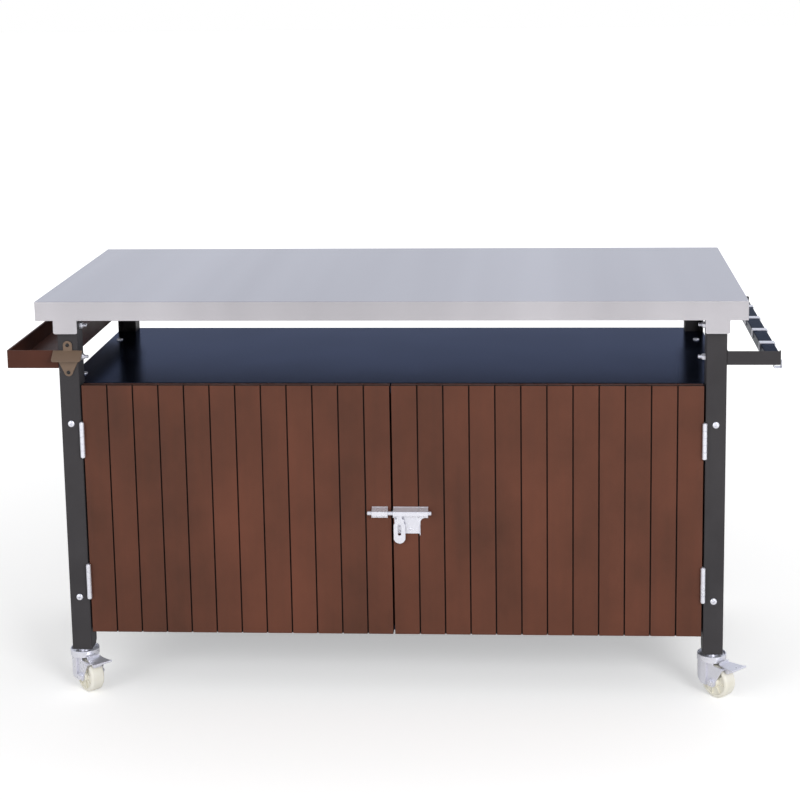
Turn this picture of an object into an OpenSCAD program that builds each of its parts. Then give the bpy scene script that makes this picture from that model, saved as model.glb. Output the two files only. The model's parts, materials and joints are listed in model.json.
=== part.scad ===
/* [Worktop] */
// Length of the worktop, end to end
top_w = 1524; // [1300:1:1800]
// Depth of the worktop, front to back
top_d = 660; // [600:1:760]
// Height of the work surface above the floor
cart_h = 890; // [860:1:940]
// Thickness of the stainless sheet
top_sheet = 1.5; // [1:0.1:2.5]
// Height of the downturned edge all round
apron_h = 42; // [34:1:55]
// Width of the return lip under the edge
apron_lip = 11; // [6:1:12]
// Width of the ear that drops over each front leg
ear_w = 52; // [48:1:60]
// How far an ear drops below the work surface
ear_drop = 71; // [60:1:90]
// Radius of the lower corners of an ear
ear_r = 4; // [1:1:10]
// Distance of each stiffener from the middle of the worktop
stiff_y = 110; // [80:1:160]
// Depth of a stiffener below the sheet
stiff_h = 25; // [18:1:32]

/* [Frame] */
// Width of a leg, and its depth front to back
leg_w = 44; // [40:1:48]
// Wall of the folded leg
leg_t = 1.8; // [1.5:0.1:2.5]
// Distance from the end of the worktop to the outer face of a leg
leg_in = 42.5; // [38:0.5:60]
// Distance from the front of the worktop to the front of the legs
front_in = 15; // [14:1:24]
// Distance from the back of the worktop to the back of the legs
back_in = 56; // [40:1:80]
// Height of the foot of a leg above the floor
leg_foot = 97.5; // [94:0.5:110]
// Thickness of the foot plate that holds a caster stem
foot_t = 4; // [3:0.5:6]
// Thickness of a corner bracket
bracket_t = 2; // [1.5:0.1:3]
// Distance from the work surface to the bracket bolts
bracket_bolt_z = 59; // [52:1:64]

/* [Shelf and cabinet] */
// Distance from the work surface down to the shelf
shelf_drop = 190; // [175:1:260]
// Thickness of the shelf and cabinet sheet
panel_t = 1.5; // [1:0.1:2.5]
// Height of the turned edges of the shelf
shelf_edge = 25; // [15:1:40]
// Distance of the shelf screws from the middle, left and right
shelf_screw_in = 25.5; // [22:0.5:28]
// Height of the foot of the doors above the foot of the legs
door_foot = 41.5; // [38:0.5:60]
// Height of the turned-up front lip of the cabinet floor
floor_lip = 10; // [6:1:20]
// Width of the inner flanges of the side panels
side_flange = 42; // [36:1:50]

/* [Doors] */
// Thickness of a door plank
plank_t = 20; // [18:1:24]
// Number of planks in each door
planks = 12; // [8:1:16]
// Width of the groove between two planks
groove_w = 2.4; // [1.6:0.2:4]
// Depth of the groove between two planks
groove_d = 5; // [3:0.5:7]
// Gap between the two doors
door_gap = 3.8; // [3:0.1:6]
// Gap between the top of the doors and the work surface of the shelf
door_top_gap = 2; // [1:0.5:3]
// Height of a batten behind the planks
batten_h = 46; // [30:1:60]
// Thickness of a batten
batten_t = 9; // [6:0.5:9.5]

/* [Hinges] */
// Length of a hinge
hinge_l = 78; // [60:1:100]
// Distance from the work surface to the top of the upper hinges
hinge_top = 270; // [240:1:300]
// Distance from the foot of the doors to the foot of the lower hinges
hinge_foot = 80; // [70:1:120]
// Outer diameter of a hinge knuckle
knuckle_d = 10.3; // [9:0.1:12]
// Diameter of a hinge pin
pin_d = 5; // [4:0.1:6]
// Thickness of a hinge leaf
leaf_t = 1.5; // [1.2:0.1:1.5]

/* [Latch] */
// Distance from the work surface to the middle of the bolt
latch_drop = 471; // [440:1:500]
// Diameter of the bolt
rod_d = 9; // [7:0.1:10]
// Length of the bolt
rod_l = 140; // [132:1:150]
// How far the bolt reaches past the middle of the cart
rod_reach = 54; // [50:1:56]
// Length of the keeper
keeper_l = 35; // [28:1:38]
// Gap from the middle of the cart to the keeper
keeper_gap = 9; // [7:1:12]
// Length of the bolt guide
guide_l = 76; // [74:1:90]
// Height of the guide and keeper on the door
guide_h = 25; // [22:1:30]
// How far the guide stands off the door
guide_out = 15; // [14:0.5:18]
// Height of the flat front of the guide
guide_face = 9.6; // [8:0.2:12]
// Thickness of the latch sheet
latch_t = 1.5; // [1.2:0.1:1.8]
// Width of the plate under the guide
plate_w = 57; // [50:1:66]
// How far the plate reaches below the bolt
plate_drop = 48; // [40:1:60]
// Width of the latch handle
handle_w = 25.5; // [22:0.5:30]
// How far the handle reaches below the bolt
handle_drop = 68; // [62:1:80]
// Thickness of the latch handle
handle_t = 2.5; // [2:0.1:3]
// Width of the padlock slot
slot_w = 7.2; // [6:0.2:9]
// Length of the padlock slot
slot_l = 25; // [18:1:30]

/* [Side tray] */
// Width of the side tray
tray_w = 112; // [80:1:160]
// Distance from the work surface to the rim of the tray
tray_drop = 110; // [100:1:120]
// Height of the tray walls
tray_h = 40; // [30:1:48]
// Thickness of the tray sheet
tray_t = 1.5; // [1:0.1:2]
// Radius of the rolled hem along the outer rim
hem_r = 2; // [1.5:0.1:3]

/* [Hook rail] */
// How far the arms reach from the legs
arm_l = 113.5; // [90:1:150]
// Height of the arms
arm_h = 30.4; // [24:0.2:40]
// Distance from the work surface to the top of the arms
arm_drop = 112; // [104:1:120]
// Thickness of the arm sheet
arm_t = 1.8; // [1.5:0.1:2.5]
// Width of the hook rail
rail_w = 30; // [24:1:36]
// Height of the hook rail
rail_h = 22; // [16:1:24]
// Gap between the rail and the outer end of an arm
rail_gap = 3.5; // [2:0.5:6]
// Width of a hook
hook_w = 20; // [14:1:26]
// Thickness of a hook
hook_t = 2; // [1.5:0.1:2.5]
// How far a hook hangs below the top of the rail
hook_drop = 55; // [48:1:70]
// Width of a hook's mouth
hook_mouth = 14; // [12:1:20]
// Height of a hook's upturned tip
hook_tip = 17; // [10:1:22]
// Distance from the front arm to the first hook
hook_first = 79; // [72:1:90]
// Distance between hooks
hook_pitch = 128.5; // [122:0.5:132]

/* [Bottle opener] */
// Distance from the work surface to the top of the opener
opener_drop = 89; // [80:1:100]
// Width of the opener's hood
hood_w = 64; // [50:1:70]
// How far the hood stands off the leg
hood_out = 21; // [16:1:26]
// Thickness of the opener
opener_t = 3; // [2.5:0.1:4]

/* [Casters] */
// Diameter of a wheel
wheel_d = 75; // [70:1:76]
// Width of a wheel
wheel_w = 32; // [26:1:34]
// Diameter of an axle
axle_d = 8; // [6:0.5:10]
// Distance from the swivel axis to the axle
trail = 20; // [16:1:26]
// Diameter of the swivel head
crown_d = 64; // [58:1:70]
// Thickness of the fork sheet
fork_t = 2.5; // [2:0.1:2.8]
// Diameter of the threaded stem
stem_d = 12; // [10:0.5:14]
// How far the casters are turned from straight ahead
caster_turn = 43; // [0:1:60]
// Width of the brake pedal
pedal_w = 46; // [42:1:52]

/* [Fasteners] */
// Thread diameter of the leg bolts
bolt_d = 8; // [6:0.5:10]
// Width across the flats of their heads and nuts
bolt_af = 13; // [11:0.5:16]
// Diameter of the cross-recess screw heads
screw_head_d = 14.5; // [10:0.5:16]
// Thread diameter of those screws
screw_d = 5; // [4:0.5:6]

/* [Hidden] */
// Clearance of a turning or sliding pair, all round
fit = 0.1;
// Clearance of loose pieces
loose = 0.4;
// Thinnest sliver that keeps cuts clean
eps = 0.01;

// How far the worktop stands back, so that the outline with the pedals is centred
mid_y = 18.5;

top_z = cart_h;
front_y = mid_y - top_d / 2;
back_y = mid_y + top_d / 2;
leg_out_x = top_w / 2 - leg_in;
leg_in_x = leg_out_x - leg_w;
leg_x = leg_out_x - leg_w / 2;
leg_front_y = front_y + front_in;
leg_back_y = back_y - back_in;
front_leg_y = leg_front_y + leg_w / 2;
rear_leg_y = leg_back_y - leg_w / 2;
leg_top_z = top_z - top_sheet;
leg_h = leg_top_z - leg_foot;

shelf_z = top_z - shelf_drop;
shelf_front_y = leg_front_y + plank_t + 14;
shelf_back_y = leg_back_y - 2;
door_z0 = leg_foot + door_foot;
door_z1 = shelf_z + door_top_gap;
door_h = door_z1 - door_z0;
floor_z = door_z0 + panel_t;
side_x = leg_out_x - leg_t;
side_lap = 20;
side_y0 = leg_front_y + leg_w - side_lap;
side_y1 = leg_back_y - leg_w + side_lap;
shelf_screw_x = leg_out_x - shelf_screw_in;
shelf_screw_y = [leg_front_y + 115, leg_back_y - 137];

door_back_y = leg_front_y + plank_t;
leaf_gap = 0.5;
leaf_w = plank_t - 1;
door_out_x = leg_in_x - 2 * leaf_t - leaf_gap;
door_in_x = door_gap / 2;
door_w = door_out_x - door_in_x;
plank_pitch = door_w / planks;
tongue = 4;
tongue_t = 5;

hinge_x = leg_in_x - leaf_t - leaf_gap / 2;
hinge_y = leg_front_y - knuckle_d / 2 - 0.15;
knuckles = 5;
knuckle_l = hinge_l / knuckles;
knuckle_play = 0.3;
hinge_zs = [top_z - hinge_top - hinge_l, door_z0 + hinge_foot];

rod_z = top_z - latch_drop;
rod_y = leg_front_y - guide_out + latch_t + 0.4 + rod_d / 2;
guide_x0 = door_in_x + 0.8;
guide_x1 = guide_x0 + guide_l;
keeper_x1 = -keeper_gap;
keeper_x0 = keeper_x1 - keeper_l;
rod_x0 = -rod_reach;
eye_w = 12;
handle_x = guide_x0 + 0.6 + handle_w / 2;
neck_d = 5;
eye_d = rod_d - 0.2;
plate_x0 = guide_x0 + 1.7;
plate_x1 = plate_x0 + plate_w;
small_hole = 5;
latch_hole = 3.6;
guide_screws = [[handle_x, -30], [handle_x, -43], [plate_x1 - 4, 4.9 - guide_h / 2 - 2], [plate_x1 - 22.5, -37.5]];
keep_screws = [[keeper_x0 + 10.5, 3.8 - guide_h / 2], [keeper_x1 - 10.5, 3.8 - guide_h / 2]];

tray_x1 = -leg_out_x;
tray_x0 = tray_x1 - tray_w;
tray_z1 = top_z - tray_drop;
tray_z0 = tray_z1 - tray_h;

arm_x0 = leg_out_x;
arm_x1 = leg_out_x + arm_l;
arm_z1 = top_z - arm_drop;
arm_z0 = arm_z1 - arm_h;
rail_x1 = arm_x1 - arm_t - rail_gap;
rail_x0 = rail_x1 - rail_w;
rail_y0 = leg_front_y + arm_t;
rail_y1 = leg_back_y - arm_t;
hook_gap = 0.3;

opener_ear_r = 9.75;
opener_low_r = 9.5;
opener_h = 78;
opener_low_w = 42.6;
opener_hood_v = 22;
opener_holes = [9, opener_h - 8.5];

front_screw_zs = [top_z - hinge_top - 4, hinge_zs[1] + 1];
pan_holes = [for (z = front_screw_zs) [z, screw_d + 2 * fit]];
opener_bores = [for (v = opener_holes) [top_z - opener_drop - v, small_hole]];
side_screw_z = hinge_zs[1] + hinge_l - 27;
side_screw_y = leg_front_y + leg_w - side_lap / 2;
batten_zs = [door_z0 + 40, (door_z0 + door_z1 - batten_h) / 2, door_z1 - 60 - batten_h];

low_bolt_z = top_z - tray_drop - 19;
high_bolt_z = top_z - bracket_bolt_z;

crown_h = 14;
crown_top = leg_foot - 3;
crown_z = crown_top - crown_h;
wheel_r = wheel_d / 2;
fork_gap = wheel_w + 9;
fork_half = fork_gap / 2 + fork_t;
wall_r = fork_half + 4;
crease_u = trail - 13;
crown_plate_z = crown_top - 6.2;
pedal_u = trail + 24.5;
pedal_z = wheel_r + 34.5;
pedal_reach = crown_d / 2 + 47.6;
pin_small = 4;
pedal_press = 15;

steel = [0.80, 0.80, 0.82];
zinc = [0.83, 0.83, 0.85];
charcoal = [0.27, 0.26, 0.28];
slate = [0.27, 0.30, 0.35];
brown = [0.40, 0.26, 0.22];
bronze = [0.45, 0.38, 0.31];
nylon = [0.88, 0.87, 0.78];
black = [0.10, 0.10, 0.10];

module box(x0, x1, y0, y1, z0, z1) {
    translate([x0, y0, z0])
        cube([x1 - x0, y1 - y0, z1 - z0]);
}

module both_ends() {
    children();
    mirror([1, 0, 0])
        children();
}

// Worktop: one folded sheet with its edges turned down and lipped

module rounded_tab(w, h, r) {
    translate([-w / 2, r])
        square([w, h - r]);
    translate([-w / 2 + r, 0])
        square([w - 2 * r, h]);
    translate([-w / 2 + r, r])
        circle(r = r, $fn = 32);
    translate([w / 2 - r, r])
        circle(r = r, $fn = 32);
}

module worktop() {
    color(steel) {
        difference() {
            box(-top_w / 2, top_w / 2, front_y, back_y, top_z - apron_h, top_z);
            box(-top_w / 2 + top_sheet, top_w / 2 - top_sheet,
                front_y + top_sheet, back_y - top_sheet,
                top_z - apron_h - 1, top_z - top_sheet);
        }
        worktop_lips();
        both_ends()
            translate([leg_x, front_y, top_z - ear_drop])
                ear();
    }
}

module ear() {
    translate([0, top_sheet, 0])
        rotate([90, 0, 0])
            linear_extrude(top_sheet)
                rounded_tab(ear_w, ear_drop - top_sheet - eps, ear_r);
}

module worktop_lips() {
    lip_z = top_z - apron_h;
    lip_x = leg_x - ear_w / 2 - 2;
    box(-lip_x, lip_x, front_y + eps, front_y + apron_lip, lip_z, lip_z + top_sheet);
    box(-top_w / 2 + eps, top_w / 2 - eps, back_y - apron_lip, back_y - eps, lip_z, lip_z + top_sheet);
    both_ends()
        box(top_w / 2 - apron_lip, top_w / 2 - eps,
            front_y + 2 * apron_lip, back_y - eps, lip_z, lip_z + top_sheet);
}

module hat_section(w, h, t, brim) {
    difference() {
        translate([-w / 2, -h])
            square([w, h]);
        translate([-w / 2 + t, -h + t])
            square([w - 2 * t, h]);
    }
    translate([-w / 2 - brim, -t])
        square([brim + t, t]);
    translate([w / 2 - t, -t])
        square([brim + t, t]);
}

module top_stiffeners() {
    stiff_l = 2 * leg_in_x - 20;
    color(steel)
        for (y = [mid_y - stiff_y, mid_y + stiff_y])
            translate([-stiff_l / 2, y, top_z - top_sheet])
                rotate([90, 0, 90])
                    linear_extrude(stiff_l)
                        hat_section(46, stiff_h, 1.2, 16);
}

// A bracket stands on the outer face of each leg and carries the sheet
module corner_bracket() {
    brim = leg_in - 8;
    difference() {
        union() {
            box(leg_out_x, leg_out_x + bracket_t, -leg_w / 2, leg_w / 2,
                leg_top_z - ear_drop + top_sheet, leg_top_z);
            box(leg_out_x + bracket_t - eps, leg_out_x + brim, -leg_w / 2, leg_w / 2,
                leg_top_z - bracket_t, leg_top_z);
        }
        translate([leg_out_x - 1, 0, high_bolt_z])
            rotate([0, 90, 0])
                cylinder(d = bolt_d + 2 * fit, h = bracket_t + 2, $fn = 32);
    }
}

module corner_brackets() {
    color(zinc)
        both_ends()
            for (y = [front_leg_y, rear_leg_y])
                translate([0, y, 0])
                    corner_bracket();
}

// Legs: folded channels, open towards the inside of the cart

module leg_section() {
    difference() {
        translate([-leg_w / 2, 0])
            square([leg_w, leg_w]);
        translate([-leg_w / 2 + leg_t, leg_t])
            square([leg_w - 2 * leg_t, leg_w]);
    }
}

module leg(front_holes, side_hole) {
    difference() {
        translate([0, 0, leg_foot])
            linear_extrude(leg_h)
                leg_section();
        for (z = [low_bolt_z, high_bolt_z])
            translate([-leg_w, leg_w / 2, z])
                rotate([0, 90, 0])
                    cylinder(d = bolt_d + 2 * fit, h = 2 * leg_w, $fn = 32);
        for (h = front_holes)
            translate([0, -1, h[0]])
                rotate([-90, 0, 0])
                    cylinder(d = h[1], h = leg_t + 2, $fn = 32);
        if (side_hole)
            translate([0, side_screw_y - leg_front_y, side_screw_z])
                rotate([0, 90, 0])
                    cylinder(d = small_hole, h = leg_w, $fn = 32);
        foot_corner_cut();
    }
}

// The flanges are clipped at the foot
module foot_corner_cut() {
    clip = 12;
    translate([0, leg_w, leg_foot])
        rotate([45, 0, 0])
            cube([2 * leg_w, clip, clip], center = true);
}

module front_leg(extra, side_hole) {
    translate([leg_x, leg_front_y, 0])
        leg(concat(pan_holes, extra), side_hole);
}

module rear_leg(side_hole) {
    translate([leg_x, leg_back_y, 0])
        mirror([0, 1, 0])
            leg([], side_hole);
}

module front_left_leg() {
    color(charcoal)
        mirror([1, 0, 0])
            front_leg(opener_bores, false);
}

module front_right_leg() {
    color(charcoal)
        front_leg([], true);
}

module rear_left_leg() {
    color(charcoal)
        mirror([1, 0, 0])
            rear_leg(false);
}

module rear_right_leg() {
    color(charcoal)
        rear_leg(true);
}

module foot_plate() {
    inner = leg_w - 2 * leg_t;
    difference() {
        union() {
            translate([-inner / 2, leg_t, leg_foot])
                cube([inner, leg_w - 2 * leg_t - 8, foot_t]);
            translate([0, leg_w / 2, leg_foot + foot_t - eps])
                cylinder(d = stem_d + 8, h = 12, $fn = 48);
        }
        translate([0, leg_w / 2, leg_foot - 1])
            cylinder(d = stem_d + 2 * fit, h = foot_t + 20, $fn = 48);
    }
}

module foot_plates() {
    color(charcoal)
        both_ends() {
            translate([leg_x, leg_front_y, 0])
                foot_plate();
            translate([leg_x, leg_back_y, 0])
                mirror([0, 1, 0])
                    foot_plate();
        }
}

// Each stem screws into a foot plate and ends in a collar that the head turns on
module caster_stem() {
    collar_z = crown_plate_z + fork_t + 0.1;
    translate([0, 0, collar_z])
        cylinder(d = stem_d + 16, h = leg_foot - collar_z, $fn = 48);
    translate([0, 0, crown_plate_z - 5])
        cylinder(d = stem_d, h = leg_foot + foot_t + 10 - crown_plate_z, $fn = 48);
    translate([0, 0, crown_plate_z - 5])
        cylinder(d = stem_d + 6, h = 4.6, $fn = 48);
}

module at_casters(front, rear) {
    for (s = [-1, 1]) {
        if (front)
            translate([s * leg_x, front_leg_y, 0])
                children();
        if (rear)
            translate([s * leg_x, rear_leg_y, 0])
                children();
    }
}

module caster_stems() {
    color(zinc)
        at_casters(true, true)
            caster_stem();
}

// Shelf and cabinet sheets share one outline, notched round the legs

module shelf_outline(wide_x, y0, y1) {
    near_x = leg_in_x - loose;
    translate([-near_x, y0])
        square([2 * near_x, y1 - y0]);
    translate([-wide_x, leg_front_y + leg_w + loose])
        square([2 * wide_x, leg_back_y - leg_front_y - 2 * leg_w - 2 * loose]);
}

module shelf_screw_holes() {
    for (s = [-1, 1])
        for (y = shelf_screw_y)
            translate([s * shelf_screw_x, y, shelf_z - 30])
                cylinder(d = screw_d + 2 * fit, h = 40, $fn = 32);
}

module middle_shelf() {
    near_x = leg_in_x - loose;
    color(slate)
        difference() {
            union() {
                translate([0, 0, shelf_z - panel_t])
                    linear_extrude(panel_t)
                        shelf_outline(leg_out_x, shelf_front_y, shelf_back_y);
                box(-near_x, near_x, shelf_front_y, shelf_front_y + panel_t,
                    shelf_z - shelf_edge, shelf_z - eps);
                box(-near_x, near_x, shelf_back_y - panel_t, shelf_back_y,
                    shelf_z - shelf_edge, shelf_z - eps);
            }
            shelf_screw_holes();
        }
}

module pan_screw(head_d, head_h, d, l) {
    difference() {
        rotate_extrude($fn = 48)
            pan_profile(head_d, head_h, d, l);
        for (a = [0, 90])
            rotate([0, 0, a])
                translate([0, 0, head_h])
                    cube([head_d * 0.5, head_d * 0.1, head_h], center = true);
    }
}

module pan_profile(head_d, head_h, d, l) {
    translate([0, -l])
        square([d / 2, l + eps]);
    square([head_d / 2, head_h / 2]);
    intersection() {
        square([head_d / 2, head_h]);
        translate([0, head_h / 2 - eps])
            scale_circle(head_d / 2, head_h / 2);
    }
}

module scale_circle(r, h) {
    polygon([for (i = [0:8]) [r * cos(i * 11.25), h * sin(i * 11.25)], [0, 0]]);
}

module side_panel() {
    x0 = side_x - panel_t;
    z0 = door_z0;
    z1 = shelf_z - panel_t;
    y0 = leg_front_y + leg_w + loose;
    y1 = leg_back_y - leg_w - loose;
    difference() {
        union() {
            box(x0, side_x, side_y0, side_y1, z0, z1);
            box(x0 - side_flange, x0 + eps, y0, y1, z1 - panel_t, z1);
            box(x0 - side_flange, x0 + eps, y0, y1, z0, z0 + panel_t);
        }
        shelf_screw_holes();
        for (y = [side_screw_y, leg_front_y + leg_back_y - side_screw_y])
            translate([0, y, side_screw_z])
                rotate([0, 90, 0])
                    cylinder(d = small_hole, h = top_w, $fn = 32);
    }
}

module right_side_panel() {
    color(charcoal)
        side_panel();
}

module left_side_panel() {
    color(charcoal)
        mirror([1, 0, 0])
            side_panel();
}

module back_panel() {
    near_x = leg_in_x - loose;
    color(charcoal) {
        box(-near_x, near_x, shelf_back_y, shelf_back_y + panel_t, door_z0, shelf_z - eps);
        box(-near_x, near_x, shelf_back_y - 12, shelf_back_y + eps, door_z0, door_z0 + panel_t);
    }
}

module cabinet_floor() {
    near_x = leg_in_x - loose;
    lip_y = door_back_y + 0.6;
    color(slate) {
        translate([0, 0, floor_z])
            linear_extrude(panel_t)
                shelf_outline(side_x - panel_t, lip_y, shelf_back_y);
        box(-near_x, near_x, lip_y, lip_y + panel_t, floor_z + eps, floor_z + panel_t + floor_lip);
    }
}

module door_stop() {
    stop_w = 80;
    stop_z = shelf_z - 20;
    lip_y = door_back_y + 0.6;
    color(slate) {
        box(-stop_w / 2, stop_w / 2, lip_y, shelf_front_y, stop_z, stop_z + panel_t);
        box(-stop_w / 2, stop_w / 2, lip_y, lip_y + panel_t, stop_z + eps, stop_z + 14);
        box(-stop_w / 2, stop_w / 2, shelf_front_y - panel_t, shelf_front_y, stop_z + eps, stop_z + 12);
    }
}

// Side tray: a folded box with a rolled outer rim

module side_tray() {
    color(brown)
        difference() {
            union() {
                difference() {
                    box(tray_x0, tray_x1, leg_front_y, leg_back_y, tray_z0, tray_z1);
                    box(tray_x0 + tray_t, tray_x1 - tray_t,
                        leg_front_y + tray_t, leg_back_y - tray_t,
                        tray_z0 + tray_t, tray_z1 + 1);
                }
                translate([tray_x0 + hem_r, leg_front_y + tray_t, tray_z1 - hem_r])
                    rotate([-90, 0, 0])
                        cylinder(r = hem_r, h = leg_back_y - leg_front_y - 2 * tray_t, $fn = 24);
            }
            for (y = [front_leg_y, rear_leg_y])
                translate([tray_x1 - 3 * tray_t, y, low_bolt_z])
                    rotate([0, 90, 0])
                        cylinder(d = bolt_d + 2 * fit, h = 6 * tray_t, $fn = 32);
        }
}

// Arms and hook rail

module rail_arm() {
    tab = leg_w;
    color(charcoal)
        difference() {
            union() {
                box(arm_x0, arm_x1, leg_front_y, leg_front_y + arm_t, arm_z0, arm_z1);
                box(arm_x0, arm_x0 + arm_t, leg_front_y + eps, leg_front_y + tab, arm_z0, arm_z1);
                box(arm_x1 - arm_t, arm_x1, leg_front_y + eps, leg_front_y + 12, arm_z0, arm_z1);
                box(arm_x0 + eps, arm_x1 - eps, leg_front_y + eps, leg_front_y + 10,
                    arm_z0, arm_z0 + arm_t);
            }
            translate([arm_x0 - 1, front_leg_y, low_bolt_z])
                rotate([0, 90, 0])
                    cylinder(d = bolt_d + 2 * fit, h = arm_t + 2, $fn = 32);
        }
}

module front_rail_arm() {
    rail_arm();
}

module rear_rail_arm() {
    translate([0, leg_front_y + leg_back_y, 0])
        mirror([0, 1, 0])
            rail_arm();
}

module hook_rail() {
    color(charcoal)
        difference() {
            box(rail_x0, rail_x1, rail_y0, rail_y1, arm_z1 - rail_h, arm_z1);
            box(rail_x0 + arm_t, rail_x1 - arm_t, rail_y0 - 1, rail_y1 + 1,
                arm_z1 - rail_h - 1, arm_z1 - arm_t);
        }
}

// A hook is one flat strip bent over the rail and turned up at its tip
module hook_section() {
    x0 = rail_x0 - hook_gap - hook_t;
    x1 = rail_x1 + hook_gap;
    z1 = arm_z1 + hook_gap + hook_t;
    z0 = arm_z1 - hook_drop;
    tip_x = x1 + hook_t + hook_mouth;
    b = hook_t * 0.6;
    polygon([
        [x0, z1 - b], [x0 + b, z1], [x1 + hook_t - b, z1], [x1 + hook_t, z1 - b],
        [x1 + hook_t, z0 + hook_t], [tip_x, z0 + hook_t], [tip_x, z0 + hook_tip],
        [tip_x + hook_t, z0 + hook_tip], [tip_x + hook_t, z0 + b], [tip_x + hook_t - b, z0],
        [x1 + b, z0], [x1, z0 + b], [x1, z1 - hook_t], [x0 + hook_t, z1 - hook_t],
        [x0 + hook_t, z1 - 18], [x0, z1 - 18]
    ]);
}

module hook(i) {
    y = leg_front_y + hook_first + i * hook_pitch;
    color(zinc)
        translate([0, y + hook_w / 2, 0])
            rotate([90, 0, 0])
                linear_extrude(hook_w)
                    hook_section();
}

module hook_1() {
    hook(0);
}

module hook_2() {
    hook(1);
}

module hook_3() {
    hook(2);
}

module hook_4() {
    hook(3);
}

// Bottle opener on the front left leg

module opener_plate() {
    translate([0, -opener_ear_r])
        circle(r = opener_ear_r, $fn = 48);
    translate([-opener_ear_r, -opener_hood_v - 4])
        square([2 * opener_ear_r, opener_hood_v + 4 - opener_ear_r]);
    polygon([
        [-opener_low_w / 2, -opener_hood_v], [opener_low_w / 2, -opener_hood_v],
        [opener_low_w / 2, -opener_hood_v - 24], [opener_low_r - 0.4, -opener_h + opener_low_r - 2.6],
        [-opener_low_r + 0.4, -opener_h + opener_low_r - 2.6], [-opener_low_w / 2, -opener_hood_v - 24]
    ]);
    translate([0, -opener_h + opener_low_r])
        circle(r = opener_low_r, $fn = 48);
}

module opener_hood() {
    corner = 5;
    reach = hood_out / cos(39) + 3;
    rotate([39, 0, 0])
        translate([0, -reach, 0])
            linear_extrude(opener_t) {
                translate([-hood_w / 2, corner])
                    square([hood_w, reach - corner]);
                translate([-hood_w / 2 + corner, 0])
                    square([hood_w - 2 * corner, corner + 1]);
                for (s = [-1, 1])
                    translate([s * (hood_w / 2 - corner), corner])
                        circle(r = corner, $fn = 32);
            }
}

module bottle_opener() {
    color(bronze)
        translate([-leg_x, leg_front_y, top_z - opener_drop])
            difference() {
                union() {
                    rotate([90, 0, 0])
                        linear_extrude(opener_t)
                            opener_plate();
                    translate([0, 0, -opener_hood_v - 1])
                        opener_hood();
                }
                box(-hood_w, hood_w, 0, 20, -opener_h, 20);
                for (v = opener_holes)
                    translate([0, 1, -v])
                        rotate([90, 0, 0])
                            cylinder(d = small_hole, h = opener_t + 2, $fn = 32);
            }
}

// Fasteners through the legs

module hex_bolt(shank) {
    cylinder(d = bolt_af / cos(30), h = 5.3, $fn = 6);
    translate([0, 0, -shank])
        cylinder(d = bolt_d, h = shank + eps, $fn = 32);
}

module hex_nut() {
    difference() {
        union() {
            cylinder(d = bolt_af / cos(30), h = 6.5, $fn = 6);
            cylinder(d = bolt_af - 1.6, h = 8.5, $fn = 32);
        }
        translate([0, 0, -1])
            cylinder(d = bolt_d + 2 * fit, h = 12, $fn = 32);
    }
}

module leg_bolt(z, pack) {
    translate([leg_out_x + pack, 0, z])
        rotate([0, 90, 0])
            hex_bolt(leg_w + pack + 16);
}

module leg_bolts() {
    color(zinc)
        for (y = [front_leg_y, rear_leg_y])
            translate([0, y, 0]) {
                both_ends()
                    leg_bolt(high_bolt_z, bracket_t);
                leg_bolt(low_bolt_z, arm_t);
                mirror([1, 0, 0])
                    leg_bolt(low_bolt_z, tray_t);
            }
}

module leg_nuts() {
    color(zinc)
        both_ends()
            for (y = [front_leg_y, rear_leg_y])
                for (z = [low_bolt_z, high_bolt_z])
                    translate([leg_in_x, y, z])
                        rotate([0, -90, 0])
                            hex_nut();
}

// Cross-recess screws on the leg fronts and through the shelf
module pan_head_screws() {
    color(zinc)
        both_ends() {
            for (z = front_screw_zs)
                translate([leg_x, leg_front_y, z])
                    rotate([90, 0, 0])
                        pan_screw(screw_head_d, 4, screw_d, 13);
            for (y = shelf_screw_y)
                translate([shelf_screw_x, y, shelf_z])
                    pan_screw(screw_head_d, 4, screw_d, 13);
        }
}

// Small dark screws in the opener and in the outer side of the right legs
module small_screws() {
    color(black) {
        for (h = opener_bores)
            translate([-leg_x, leg_front_y - opener_t, h[0]])
                rotate([90, 0, 0])
                    pan_screw(8, 2.6, small_hole - 4 * fit, 12);
        for (y = [side_screw_y, leg_front_y + leg_back_y - side_screw_y])
            translate([leg_out_x, y, side_screw_z])
                rotate([0, 90, 0])
                    pan_screw(8, 2.6, small_hole - 4 * fit, 12);
    }
}

// Hinges: knuckles alternate between the leg leaf and the door leaf

module hinge_leaf(own, x0) {
    bore = pin_d + fit;
    reach = leg_front_y - hinge_y + leaf_w;
    start = knuckle_d / 2 + loose;
    difference() {
        union() {
            translate([x0, start, 0])
                cube([leaf_t, reach - start, hinge_l]);
            for (k = [0:knuckles - 1])
                if (k % 2 == own) {
                    z0 = k * knuckle_l + (k > 0 ? knuckle_play / 2 : 0);
                    z1 = (k + 1) * knuckle_l - (k < knuckles - 1 ? knuckle_play / 2 : 0);
                    translate([0, 0, z0])
                        cylinder(d = knuckle_d, h = z1 - z0, $fn = 48);
                    translate([x0, 0, z0])
                        cube([leaf_t, start + 1, z1 - z0]);
                }
        }
        translate([0, 0, -1])
            cylinder(d = bore, h = hinge_l + 2, $fn = 48);
    }
}

module at_hinges() {
    for (z = hinge_zs)
        translate([hinge_x, hinge_y, z])
            children();
}

module leg_hinge_leaves() {
    color(zinc)
        both_ends()
            at_hinges()
                hinge_leaf(0, leaf_gap / 2);
}

module door_hinge_leaves() {
    color(zinc)
        at_hinges()
            hinge_leaf(1, -leaf_gap / 2 - leaf_t);
}

module left_door_hinge_leaves() {
    mirror([1, 0, 0])
        door_hinge_leaves();
}

module right_door_hinge_leaves() {
    door_hinge_leaves();
}

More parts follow.
